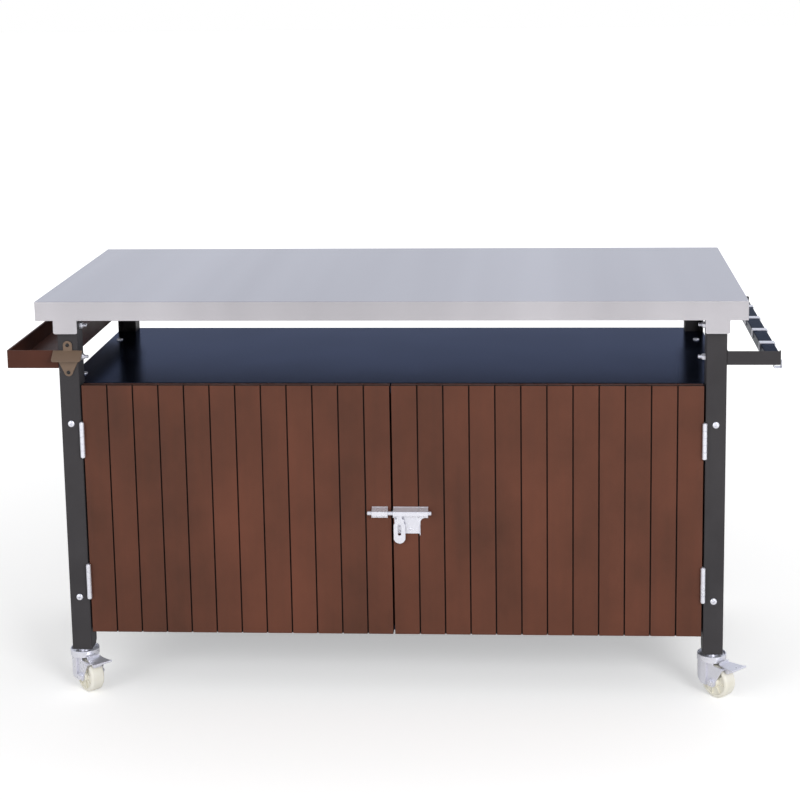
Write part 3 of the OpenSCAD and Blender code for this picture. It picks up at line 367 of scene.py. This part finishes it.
# %% Zinc plate
def zinc_plate():
    material, tree, surface = new_material("zinc_plate")
    surface.inputs["Metallic"].default_value = 0.6
    place = tree.nodes.new("ShaderNodeTexCoord")
    crystals = tree.nodes.new("ShaderNodeTexVoronoi")
    crystals.inputs["Scale"].default_value = 260
    tree.links.new(place.outputs["Object"], crystals.inputs["Vector"])
    duller, brighter = srgb(222, 222, 230), srgb(226, 226, 234)
    colour = blend_colours(tree, crystals.outputs["Color"], duller, brighter, 0.2, 0.8)
    tree.links.new(colour, surface.inputs["Base Color"])
    tree.links.new(spread(tree, noise(tree, 60), 0.26, 0.32), surface.inputs["Roughness"])
    bumps(tree, surface, noise(tree, 500, detail=2), 0.00005, 0.04)
    return material


# %% [markdown]
# The doors are stained boards. The stain lies in clouds, each board took it a little differently, and the
# fibres run up the board. The grooves between the boards lie in deep shade, and the material paints that
# shade: it colours a layer just behind the front of the boards nearly black.

# %% Places of the boards
BOARDS_IN_A_DOOR = 12
# The painted groove shade fills a layer that starts GROOVE_START behind the board fronts and is
# GROOVE_DEPTH deep.
GROOVE_START = 0.0003
GROOVE_DEPTH = 0.006

door_low, door_high = solid_corners("right_door_planks")
BOARD_START = door_low[0]
BOARD_PITCH = round((door_high[0] - door_low[0]) / BOARDS_IN_A_DOOR, 7)
BOARD_FRONT = door_low[1]
GROOVE_MIDDLE = BOARD_FRONT + GROOVE_START + GROOVE_DEPTH / 2
print("boards: from", BOARD_START, "every", BOARD_PITCH, "front", BOARD_FRONT)

# %% Stained boards with painted groove shade
def stained_boards_with_groove_shade():
    material, tree, surface = new_material("stained_boards_with_groove_shade")
    surface.inputs["Specular IOR Level"].default_value = 0.2
    place = tree.nodes.new("ShaderNodeTexCoord")
    split = tree.nodes.new("ShaderNodeSeparateXYZ")
    tree.links.new(place.outputs["Object"], split.inputs[0])
    across = calculated(tree, "SUBTRACT", calculated(tree, "ABSOLUTE", split.outputs["X"]), BOARD_START)
    number = calculated(tree, "FLOOR", calculated(tree, "DIVIDE", across, BOARD_PITCH))
    chance = tree.nodes.new("ShaderNodeTexWhiteNoise")
    chance.noise_dimensions = "1D"
    tree.links.new(number, chance.inputs["W"])
    clouds = noise(tree, 5.5, stretch=(1, 1, 0.8), detail=4, rough=0.55)
    fibre = noise(tree, 46, stretch=(1, 1, 0.045), detail=5, rough=0.6)
    stain = calculated(tree, "MULTIPLY_ADD", fibre, 0.22, spread(tree, clouds, 0.2, 0.68, 0.2, 0.8))
    shade = calculated(tree, "MULTIPLY_ADD", chance.outputs["Value"], 0.10, stain)
    brown = blend_colours(tree, shade, srgb(69, 42, 31), srgb(109, 64, 48), 0.3, 0.9)
    # Painted shade: the layer behind the board fronts, inside the grooves, takes a nearly black colour in
    # place of the shade there.
    groove_shade = tree.nodes.new("ShaderNodeMix")
    groove_shade.data_type = "RGBA"
    groove_shade.inputs["B"].default_value = (*srgb(16, 10, 8), 1)
    in_groove_shade = calculated(tree, "COMPARE", split.outputs["Y"], GROOVE_MIDDLE, GROOVE_DEPTH / 2)
    tree.links.new(in_groove_shade, groove_shade.inputs["Factor"])
    tree.links.new(brown, groove_shade.inputs["A"])
    tree.links.new(groove_shade.outputs["Result"], surface.inputs["Base Color"])
    tree.links.new(spread(tree, fibre, 0.5, 0.64), surface.inputs["Roughness"])
    bumps(tree, surface, fibre, 0.0004, 0.35)
    return material


# %% [markdown]
# The wheels are moulded nylon in a warm cream. Plastic like this is smooth, and dull where the floor has
# rubbed it, so the gloss varies with a slow noise.

# %% Nylon
def cream_nylon():
    material, tree, surface = new_material("cream_nylon")
    colour = blend_colours(tree, noise(tree, 30), srgb(234, 230, 214), srgb(243, 240, 230))
    tree.links.new(colour, surface.inputs["Base Color"])
    tree.links.new(spread(tree, noise(tree, 80), 0.34, 0.5), surface.inputs["Roughness"])
    bumps(tree, surface, noise(tree, 700, detail=1), 0.00004, 0.4)
    return material


# %% [markdown]
# Each solid gets the finish that the record names for it, and only the hook rail takes a smooth coat
# instead of the charcoal one, because its top mirrors the room like the shelf. Their shapes stay as they
# are.

# %% Finishes on the solids
finishes = {
    "stainless": stainless_sheet(),
    "charcoal_coat": charcoal_coat,
    "slate_coat": slate_coat,
    "brown_coat": tray_coat,
    "door_wood": stained_boards_with_groove_shade(),
    "bronze_coat": bronze_coat,
    "zinc": zinc_plate(),
    "dark_steel": black_oxide,
    "nylon": cream_nylon(),
}
slots = {part["node"]: part["material_slot"] for part in frame["record"]["subparts"]}
looks = {name: finishes[slot] for name, slot in slots.items()}
looks["hook_rail"] = rail_coat
for name, solid in nodes.items():
    solid.data.materials.clear()
    solid.data.materials.append(looks[name])
print("finishes:", len(finishes))

# %% [markdown]
# A new piece stands for one solid. It takes that solid's finish and body, and its place is in its mesh, so
# that its object stays at the origin. Faces that meet at a small angle are shaded as one round surface.

# %% Helpers for a finished piece
bodies = frame["record"]["behaviour"]["bodies"]
body_of_node = {node: body for body, members in bodies.items() for node in members}


def smooth_by_angle(bm, degrees):
    for face in bm.faces:
        face.smooth = True
    for edge in bm.edges:
        edge.smooth = len(edge.link_faces) == 2 and edge.calc_face_angle(0) < math.radians(degrees)


def finished_piece(bm, name, node):
    bmesh.ops.recalc_face_normals(bm, faces=bm.faces)
    mesh = bpy.data.meshes.new(name)
    bm.to_mesh(mesh)
    bm.free()
    mesh.materials.append(looks[node])
    piece = bpy.data.objects.new(name, mesh)
    bpy.context.collection.objects.link(piece)
    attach(piece, body_of_node[node])
    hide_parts(node)
    return piece


print("bodies:", len(bodies))

# %% [markdown]
# Folded sheet has no knife edges: the outside of a fold is a small round, and a cut edge is slightly
# broken by deburring. Both are what catches the light on a real cart. So most solids get a softened copy,
# whose triangles are joined into whole faces before its corners are rounded. The first helpers find the
# groups of triangles that lie in one plane, the edges round such a group, and the rings that these edges
# form.

# %% Helpers for flat faces
FLAT = math.radians(0.4)


def flat_groups(bm, across_cuts=True):
    seen = set()
    for face in bm.faces:
        if face in seen:
            continue
        seen.add(face)
        group, queue = [], [face]
        while queue:
            current = queue.pop()
            group.append(current)
            for edge in current.edges:
                if edge.calc_face_angle(0) < FLAT and (across_cuts or not edge.seam):
                    fresh = [other for other in edge.link_faces if other not in seen]
                    seen.update(fresh)
                    queue += fresh
        yield group


def rim_of(group):
    inside = set(group)
    edges = [edge for face in group for edge in face.edges]
    return [edge for edge in edges if sum(face in inside for face in edge.link_faces) == 1]


def rings_of(rim):
    links = {}
    for edge in rim:
        for vert in edge.verts:
            links.setdefault(vert, []).append(edge.other_vert(vert))
    rings, seen = [], set()
    for start in links:
        if start in seen:
            continue
        rings.append([])
        queue = [start]
        while queue:
            vert = queue.pop()
            if vert not in seen:
                seen.add(vert)
                rings[-1].append(vert)
                queue += links[vert]
    return rings


print("flat below", round(math.degrees(FLAT), 2), "degrees")

# %% [markdown]
# A face with a hole in it can't be one whole face in Blender, so the copy is first cut across the middle
# of each hole. The cuts are marked as seams, and faces aren't joined again across them. Only the forks
# and pedals stay uncut, because on their round crowns the cuts would leave slivers.

# %% Helpers for a copy with whole faces
SAME_POINT = 0.000002
CUT_REACH = 0.00005
UNCUT = ("_fork", "_pedal")


def span(verts, axis):
    places = [vert.co[axis] for vert in verts]
    return min(places), max(places)


def extent(verts, axis):
    low, high = span(verts, axis)
    return high - low


def middles_of_holes(bm):
    middles = set()
    for group in flat_groups(bm):
        rings = rings_of(rim_of(group))
        if len(rings) > 1:
            verts = [vert for ring in rings for vert in ring]
            axis = max(range(3), key=lambda k: extent(verts, k))
            rings.sort(key=lambda ring: extent(ring, axis))
            middles.update((axis, round(sum(span(ring, axis)) / 2, 4)) for ring in rings[:-1])
    return sorted(middles)


def cut_through_holes(bm):
    for axis, place in middles_of_holes(bm):
        normal = Vector([float(k == axis) for k in range(3)])
        everything = [*bm.verts, *bm.edges, *bm.faces]
        cut = bmesh.ops.bisect_plane(bm, geom=everything, dist=CUT_REACH,
                                     plane_co=normal * place, plane_no=normal)
        for part in cut["geom_cut"]:
            if isinstance(part, bmesh.types.BMEdge):
                part.seam = True


def join_flat_faces(bm):
    inner = []
    for group in flat_groups(bm, across_cuts=False):
        if len(rings_of(rim_of(group))) == 1:
            whole = set(group)
            edges = [edge for face in group for edge in face.edges]
            inner += [edge for edge in edges if all(face in whole for face in edge.link_faces)]
    bmesh.ops.dissolve_limit(bm, angle_limit=FLAT, verts=bm.verts, edges=list(dict.fromkeys(inner)))


def copy_of(name):
    bm = bmesh.new()
    bm.from_mesh(nodes[name].data)
    bmesh.ops.remove_doubles(bm, verts=bm.verts, dist=SAME_POINT)
    if not name.endswith(UNCUT):
        cut_through_holes(bm)
    join_flat_faces(bm)
    return bm


# %% [markdown]
# The copy is bevelled twice: its folds with a wide round, and all other corners with a thin one. A bevel
# wider than the strip beside it would turn the strip inside out, so the strip's width is measured first,
# at three places along the edge, and an edge with too little room stays sharp. So do very short edges,
# which are less than 2.5 bevels long, and shallow ones, whose faces turn by less than 33 degrees.

# %% Helpers for rounded corners
LEAST_ANGLE = math.radians(33)
LEAST_LENGTH = 2.5
NO_WIDTH = 0.00001
WIDEST = 1.0


def rims_of_faces(bm):
    rims = {}
    for group in flat_groups(bm):
        rim = rim_of(group)
        rims.update((face, rim) for face in group)
    return rims


def width_beside(edge, face, rim):
    loop = next(loop for loop in face.loops if loop.edge is edge)
    start, end = loop.vert.co, loop.link_loop_next.vert.co
    along = (end - start).normalized()
    inwards = face.normal.cross(along)
    widths = [WIDEST]
    for part in (0.25, 0.5, 0.75):
        origin = start.lerp(end, part)
        for other in rim:
            a, b = [vert.co - origin for vert in other.verts]
            if other is not edge and (a.dot(along) > 0) != (b.dot(along) > 0):
                crossing = a.lerp(b, a.dot(along) / (a - b).dot(along)).dot(inwards)
                if crossing > NO_WIDTH:
                    widths.append(crossing)
    return min(widths)


def corners_with_room(bm, width, room):
    bm.normal_update()
    rims = rims_of_faces(bm)
    found = []
    for edge in bm.edges:
        if len(edge.link_faces) != 2 or edge.calc_length() < LEAST_LENGTH * width:
            continue
        if not edge.is_convex or edge.calc_face_angle(0) < LEAST_ANGLE:
            continue
        if all(width_beside(edge, face, rims[face]) > room * width for face in edge.link_faces):
            found.append(edge)
    return found


def bevel(bm, edges, width, segments):
    bmesh.ops.bevel(bm, geom=edges, offset=width, offset_type="OFFSET", segments=segments, profile=0.5,
                    affect="EDGES", clamp_overlap=False, material=-1)


def round_corners(bm, width, room, segments):
    edges = corners_with_room(bm, width, room) if width else []
    if edges:
        bevel(bm, edges, width, segments)
    return len(edges)


def softened(name, fold, edge):
    bm = copy_of(name)
    folds = round_corners(bm, fold, room=2.5, segments=3)
    edges = round_corners(bm, edge, room=2.4, segments=1)
    smooth_by_angle(bm, 32)
    piece = finished_piece(bm, name + "_soft", name)
    even = piece.modifiers.new("even_normals", "WEIGHTED_NORMAL")
    even.keep_sharp = True
    return folds, edges


# %% [markdown]
# The table gives each solid the round of its folds and then that of its edges. The legs and the arms are
# thick sheet with clear folds. The worktop, the tray and the side panels have narrow lips, which leave
# room for small rounds only. The boards are planed with eased edges, and small pressed pieces get a finer
# round.

# %% Softened sheets, boards and pressings
rounds = {
    "worktop": (0.0010, 0.0003), "side_tray": (0.0010, 0.0003), "middle_shelf": (0.0012, 0.0003),
    "cabinet_floor": (0.0016, 0.0004), "door_stop": (0.0012, 0.0003), "back_panel": (0.0016, 0),
    "left_side_panel": (0.0010, 0.0003), "right_side_panel": (0.0010, 0.0003),
    "front_rail_arm": (0.0018, 0.0004), "rear_rail_arm": (0.0018, 0.0004), "hook_rail": (0.0018, 0.0004),
    "corner_brackets": (0.0016, 0.0004), "bottle_opener": (0.0008, 0.0005),
    "left_door_planks": (0, 0.0006), "right_door_planks": (0, 0.0006),
    "left_door_battens": (0.002, 0.0006), "right_door_battens": (0.002, 0.0006),
    "leg_hinge_leaves": (0, 0.0003),
    "left_door_hinge_leaves": (0, 0.0003), "right_door_hinge_leaves": (0, 0.0003),
    "latch_keeper": (0.0008, 0.0003), "latch_guide": (0.0008, 0.0003), "latch_handle": (0, 0.0004),
    **{f"hook_{number}": (0.0009, 0.0003) for number in range(1, 5)},
    **{corner + "_leg": (0.0026, 0.0004) for corner in CORNERS},
    **{corner + "_fork": (0.0008, 0.0003) for corner in CORNERS},
    **{corner + "_pedal": (0.0006, 0.0003) for corner in ("front_left", "front_right")},
}
for name, (fold, edge) in rounds.items():
    print(name, softened(name, fold, edge))

# %% [markdown]
# Bolts, nuts and screws are turned parts: half of their outline is spun round an axis. Each maker below
# draws its fastener upright at the origin, head up, and the list of places then turns and moves every
# copy.

# %% Helpers for turned parts
def turned(outline, steps):
    bm = bmesh.new()
    ring = [bm.verts.new((radius, 0, height)) for radius, height in outline]
    edges = [bm.edges.new(pair) for pair in zip(ring, ring[1:])]
    bmesh.ops.spin(bm, geom=ring + edges, cent=(0, 0, 0), axis=(0, 0, 1), angle=math.tau, steps=steps,
                   use_merge=True)
    bmesh.ops.remove_doubles(bm, verts=bm.verts, dist=SAME_POINT)
    bmesh.ops.recalc_face_normals(bm, faces=bm.faces)
    return bm


def joined(parts):
    whole = bmesh.new()
    for part in parts:
        mesh = bpy.data.meshes.new("part")
        part.to_mesh(mesh)
        part.free()
        whole.from_mesh(mesh)
        bpy.data.meshes.remove(mesh)
    return whole


def facing(place, direction, spin):
    turn = Vector(direction).normalized().to_track_quat("Z", "Y").to_matrix().to_4x4()
    return Matrix.Translation(place) @ turn @ Matrix.Rotation(spin, 4, "Z")


def fit_copies(fastener, places, name, node, smooth_below):
    copies = []
    for place in places:
        copy = fastener.copy()
        copy.transform(place)
        copies.append(copy)
    fastener.free()
    whole = joined(copies)
    smooth_by_angle(whole, smooth_below)
    finished_piece(whole, name, node)
    print(name + ":", len(places))


# %% [markdown]
# The legs are bolted with M8 hexagon bolts. A real head is a hexagon whose corners a lathe has cut to a
# cone, and it has a round washer face under it. A cone could be cut from the hexagon too, but at this
# size a bevel round its top looks the same and has few faces. The thread is a row of V grooves. What lies
# between the head and the leg is a corner bracket at the top bolts, and a rail arm or the tray at the low
# ones.

# %% Hexagon bolts
BOLT_RADIUS = 0.004
ACROSS_FLATS = 0.013
HEX_RADIUS = ACROSS_FLATS / 2 / math.cos(math.pi / 6)
THREAD_PITCH = 0.0012
THREAD_DEPTH = 0.0005
COLLAR = 0.0004
TOP_BOLT_HEIGHT = 0.831
LOW_BOLT_HEIGHT = 0.761
BRACKET_SHEET = 0.0020
ARM_SHEET = 0.0018
TRAY_SHEET = 0.0015


def hexagon(bottom, top, chamfer):
    bm = bmesh.new()
    bmesh.ops.create_cone(bm, cap_ends=True, segments=6, radius1=HEX_RADIUS, radius2=HEX_RADIUS,
                          depth=top - bottom)
    bmesh.ops.translate(bm, verts=bm.verts, vec=(0, 0, (top + bottom) / 2))
    top_rim = [edge for edge in bm.edges if all(vert.co.z > top - SAME_POINT for vert in edge.verts)]
    bevel(bm, top_rim, chamfer, 2)
    return bm


def bolt(shank, thread):
    outline = [(0, -shank), (BOLT_RADIUS - 0.0008, -shank)]
    height = -shank + THREAD_PITCH / 2
    while height < -shank + thread:
        outline += [(BOLT_RADIUS, height), (BOLT_RADIUS - THREAD_DEPTH, height + THREAD_PITCH / 2)]
        height += THREAD_PITCH
    outline += [(BOLT_RADIUS, height), (BOLT_RADIUS, COLLAR), (0, COLLAR)]
    collar = turned([(0, 0), (0.0060, 0), (0.0060, 0.0005), (0, 0.0005)], 32)
    return joined([turned(outline, 24), collar, hexagon(COLLAR, 0.0053, 0.0007)])


bolt_places = []
for side, low_sheet in ((1, ARM_SHEET), (-1, TRAY_SHEET)):
    for y in (FRONT_LEG_Y, REAR_LEG_Y):
        top_place = (side * (LEG_OUTSIDE + BRACKET_SHEET), y, TOP_BOLT_HEIGHT)
        low_place = (side * (LEG_OUTSIDE + low_sheet), y, LOW_BOLT_HEIGHT)
        bolt_places.append(facing(top_place, (side, 0, 0), 0.2 + y))
        bolt_places.append(facing(low_place, (side, 0, 0), 0.5 + y))
fit_copies(bolt(shank=0.0618, thread=0.022), bolt_places, "hexagon_bolts", "leg_bolts", smooth_below=28)

# %% [markdown]
# The nuts on the inside of the legs are lock nuts. Above the hexagon they have a round collar that holds
# a nylon ring, which grips the thread.

# %% Lock nuts
def hexagon_ring(bottom, top):
    bm = hexagon(bottom, top, 0.0006)
    caps = [face for face in bm.faces if abs(face.normal.z) > 0.99 and len(face.verts) == 6]
    bmesh.ops.inset_region(bm, faces=caps, thickness=0.0022, use_even_offset=True)
    return bm


def lock_nut():
    outside = [(0.0058, 0), (0.0058, 0.0072), (0.0055, 0.0081), (0.0049, 0.0085)]
    bore = [(0.0041, 0.0083), (0.0041, 0)]
    collar = turned([(0.0041, 0)] + outside + bore, 32)
    return joined([hexagon_ring(0.0002, 0.0065), collar])


nut_places = [
    facing((side * LEG_INSIDE, y, z), (-side, 0, 0), 0.3 + z + y)
    for side in (-1, 1) for y in (FRONT_LEG_Y, REAR_LEG_Y) for z in (LOW_BOLT_HEIGHT, TOP_BOLT_HEIGHT)
]
fit_copies(lock_nut(), nut_places, "lock_nuts", "leg_nuts", smooth_below=28)

# %% [markdown]
# The pan-head screws are low domes with a cross recess. The dome is turned, and the recess is a tapered
# cross that is cut out of it with a boolean, which is then made part of the mesh.

# %% Helpers for cross-recess screws
QUARTER_TURN = [math.radians(degrees) for degrees in range(0, 91, 10)]


def cross_cutter(radius, depth, height):
    arms = []
    for turn_by in (0, math.pi / 2):
        bm = bmesh.new()
        bmesh.ops.create_cube(bm, size=1)
        bmesh.ops.scale(bm, verts=bm.verts, vec=(radius * 1.1, radius * 0.24, depth * 2))
        low = [vert for vert in bm.verts if vert.co.z < 0]
        bmesh.ops.scale(bm, verts=low, vec=(0.5, 0.6, 1))
        bmesh.ops.translate(bm, verts=bm.verts, vec=(0, 0, height))
        bmesh.ops.rotate(bm, verts=bm.verts, cent=(0, 0, 0), matrix=Matrix.Rotation(turn_by, 3, "Z"))
        arms.append(bm)
    return arms


def as_object(bm, name):
    mesh = bpy.data.meshes.new(name)
    bm.to_mesh(mesh)
    bm.free()
    thing = bpy.data.objects.new(name, mesh)
    bpy.context.collection.objects.link(thing)
    return thing


def cut_away(bm, cutters):
    body = as_object(bm, "to_cut")
    knives = [as_object(cutter, "knife") for cutter in cutters]
    for knife in knives:
        step = body.modifiers.new("cut", "BOOLEAN")
        step.operation = "DIFFERENCE"
        step.solver = "EXACT"
        step.object = knife
    result = bmesh.new()
    result.from_mesh(body.evaluated_get(bpy.context.evaluated_depsgraph_get()).to_mesh())
    for thing in [body, *knives]:
        bpy.data.objects.remove(thing)
    return result


def pan_screw(head, height, shank, length):
    point = [(0, -length), (shank * 0.6, -length), (shank, -length + shank * 0.7)]
    dome = [(head * math.cos(angle), height * (0.35 + 0.65 * math.sin(angle))) for angle in QUARTER_TURN]
    outline = point + [(shank, 0), (head, 0)] + dome[:-1] + [(0, height)]
    return cut_away(turned(outline, 40), cross_cutter(head, height * 0.62, height))


# %% [markdown]
# Large screws sit in the fronts of the front legs, and four more hold the shelf. Small dark ones hold the
# bottle opener on the left leg, and the side panel in the right legs. The latch has the smallest, four in
# the guide and two in the keeper, whose places are given as X and height.

# %% Cross-recess screws
TOWARDS_FRONT = (0, -1, 0)
FRONT_SCREW_HEIGHTS = (0.616, 0.220)
SHELF_SCREW_X = 0.694
SHELF_SCREWS_Y = (-0.1815, 0.1555)
OPENER_SHEET = 0.003
OPENER_SCREW_HEIGHTS = (0.792, 0.7315)
SIDE_SCREW_HEIGHT = 0.270
SIDE_SCREWS_Y = (-0.2625, 0.2585)
LATCH_FACE = LEG_FRONT - 0.0015
GUIDE_SCREWS = ((0.01605, 0.389), (0.01605, 0.376), (0.0574, 0.4094), (0.0389, 0.3815))
KEEPER_SCREWS = ((-0.0335, 0.4103), (-0.0195, 0.4103))

pan_places = [
    facing((side * LEG_X, LEG_FRONT, z), TOWARDS_FRONT, 0.4 * side + z)
    for side in (-1, 1) for z in FRONT_SCREW_HEIGHTS
]
pan_places += [
    facing((side * SHELF_SCREW_X, y, SHELF_TOP), (0, 0, 1), 0.7 * side + y)
    for side in (-1, 1) for y in SHELF_SCREWS_Y
]
large_screw = pan_screw(head=0.00725, height=0.004, shank=0.0025, length=0.013)
fit_copies(large_screw, pan_places, "cross_recess_screws", "pan_head_screws", smooth_below=30)

opener_front = LEG_FRONT - OPENER_SHEET
small_places = [facing((-LEG_X, opener_front, z), TOWARDS_FRONT, z) for z in OPENER_SCREW_HEIGHTS]
small_places += [facing((LEG_OUTSIDE, y, SIDE_SCREW_HEIGHT), (1, 0, 0), y) for y in SIDE_SCREWS_Y]
small_screw = pan_screw(head=0.004, height=0.0026, shank=0.0023, length=0.012)
fit_copies(small_screw, small_places, "dark_screws", "small_screws", smooth_below=30)

latch_groups = (
    ("guide_screws", "latch_screws", GUIDE_SCREWS),
    ("keeper_plate_screws", "keeper_screws", KEEPER_SCREWS),
)
for name, node, group in latch_groups:
    latch_places = [facing((x, LATCH_FACE, z), TOWARDS_FRONT, x * 40) for x, z in group]
    latch_screw = pan_screw(head=0.0028, height=0.0014, shank=0.0017, length=0.012)
    fit_copies(latch_screw, latch_places, name, node, smooth_below=30)

# %% [markdown]
# Each caster is turned 43 degrees from straight ahead, so its parts are drawn in a frame of their own:
# the swivel axis at the origin, the wheel trailing along X, and the axle along Y.

# %% The four casters' frames
TRAIL = 0.020
WHEEL_RADIUS = 0.0375
CASTER_TURN = math.radians(43 - 90)


def axle_frame(side, y, quarter):
    caster_frame = Matrix.Translation((side * LEG_X, y, 0)) @ Matrix.Rotation(CASTER_TURN, 4, "Z")
    on_axle = Matrix.Rotation(math.radians(90 * quarter), 4, "X")
    return caster_frame @ Matrix.Translation((TRAIL, 0, WHEEL_RADIUS)) @ on_axle


# %% [markdown]
# The wheels are moulded in one go: a hub, a narrower disc and a wide rim with round shoulders, and short
# ribs that stiffen the disc. A moulding has a draft and a small round in every corner, so the outline has
# no sharp turns. The shallow line round the tread is where the two halves of the mould meet.

# %% Wheels
SHOULDER = 0.006
SHOULDER_PLACE = (0.0315, 0.010)
MOULD_LINE_RADIUS = 0.03742
RIB_SIZE = (0.0178, 0.0022, 0.0032)
RIB_RADIUS = 0.0208
RIB_PLACE = 0.0135
RIBS = 8


def wheel_outline():
    hub = [(0.0041, 0.0199), (0.0113, 0.0199), (0.0119, 0.0193), (0.0122, 0.0127), (0.0129, 0.0120)]
    disc = [(0.0286, 0.0120), (0.0293, 0.0127), (0.0296, 0.0153), (0.0303, 0.0160)]
    radius, width = SHOULDER_PLACE
    shoulder = [(radius + SHOULDER * math.sin(a), width + SHOULDER * math.cos(a)) for a in QUARTER_TURN]
    upper = hub + disc + shoulder + [(WHEEL_RADIUS, 0.0010), (WHEEL_RADIUS, 0.0003)]
    lower = [(r, -w) for r, w in reversed(upper)]
    return upper + [(MOULD_LINE_RADIUS, 0)] + lower + [upper[0]]


def wheel_rib(angle, end):
    bm = bmesh.new()
    bmesh.ops.create_cube(bm, size=1)
    bmesh.ops.scale(bm, verts=bm.verts, vec=RIB_SIZE)
    bmesh.ops.translate(bm, verts=bm.verts, vec=(RIB_RADIUS, 0, end * RIB_PLACE))
    bevel(bm, list(bm.edges), 0.0004, 2)
    bmesh.ops.rotate(bm, verts=bm.verts, cent=(0, 0, 0), matrix=Matrix.Rotation(angle, 3, "Z"))
    return bm


for corner, (side, y) in CORNERS.items():
    ribs = [wheel_rib(math.tau * k / RIBS + 0.2 * side, end) for k in range(RIBS) for end in (-1, 1)]
    wheel = joined([turned(wheel_outline(), 96)] + ribs)
    wheel.transform(axle_frame(side, y, -1))
    smooth_by_angle(wheel, 40)
    finished_piece(wheel, corner + "_moulded_wheel", corner + "_wheel")
print("wheels:", len(CORNERS))

# %% [markdown]
# The axle is a bolt with a hexagon head at one end and a nut at the other that is peened on, so that it
# can't work loose. A washer lies under each of them.

# %% Axles
AXLE_END = 0.0245
WASHER = 0.0015


def washer(bottom):
    under = [(0.004, bottom), (0.0086, bottom), (0.009, bottom + 0.0004)]
    over = [(0.009, bottom + 0.0011), (0.0086, bottom + WASHER), (0.004, bottom + WASHER)]
    return turned(under + over, 48)


def axle_bolt():
    near, far = AXLE_END, -AXLE_END
    shaft = [(0, far - 0.0095), (0.0031, far - 0.0095), (0.0038, far - 0.0088)]
    height = far - 0.0088
    while height < far - 0.0068:
        shaft += [(BOLT_RADIUS, height + 0.0003), (BOLT_RADIUS - THREAD_DEPTH, height + 0.0009)]
        height += THREAD_PITCH
    shaft += [(BOLT_RADIUS, far - 0.0064), (BOLT_RADIUS, near + 0.001), (0, near + 0.001)]
    upside_down = Matrix.Translation((0, 0, far)) @ Matrix.Rotation(math.pi, 4, "X")
    nut = hexagon(0, 0.0065, 0.0007)
    nut.transform(upside_down @ Matrix.Rotation(0.4, 4, "Z"))
    head = hexagon(near, near + 0.0063, 0.0008)
    return joined([turned(shaft, 32), head, nut, washer(near - WASHER), washer(far)])


for corner, (side, y) in CORNERS.items():
    axle = axle_bolt()
    axle.transform(axle_frame(side, y, 1))
    smooth_by_angle(axle, 28)
    finished_piece(axle, corner + "_axle_bolt", corner + "_axle")
print("axles:", len(CORNERS))
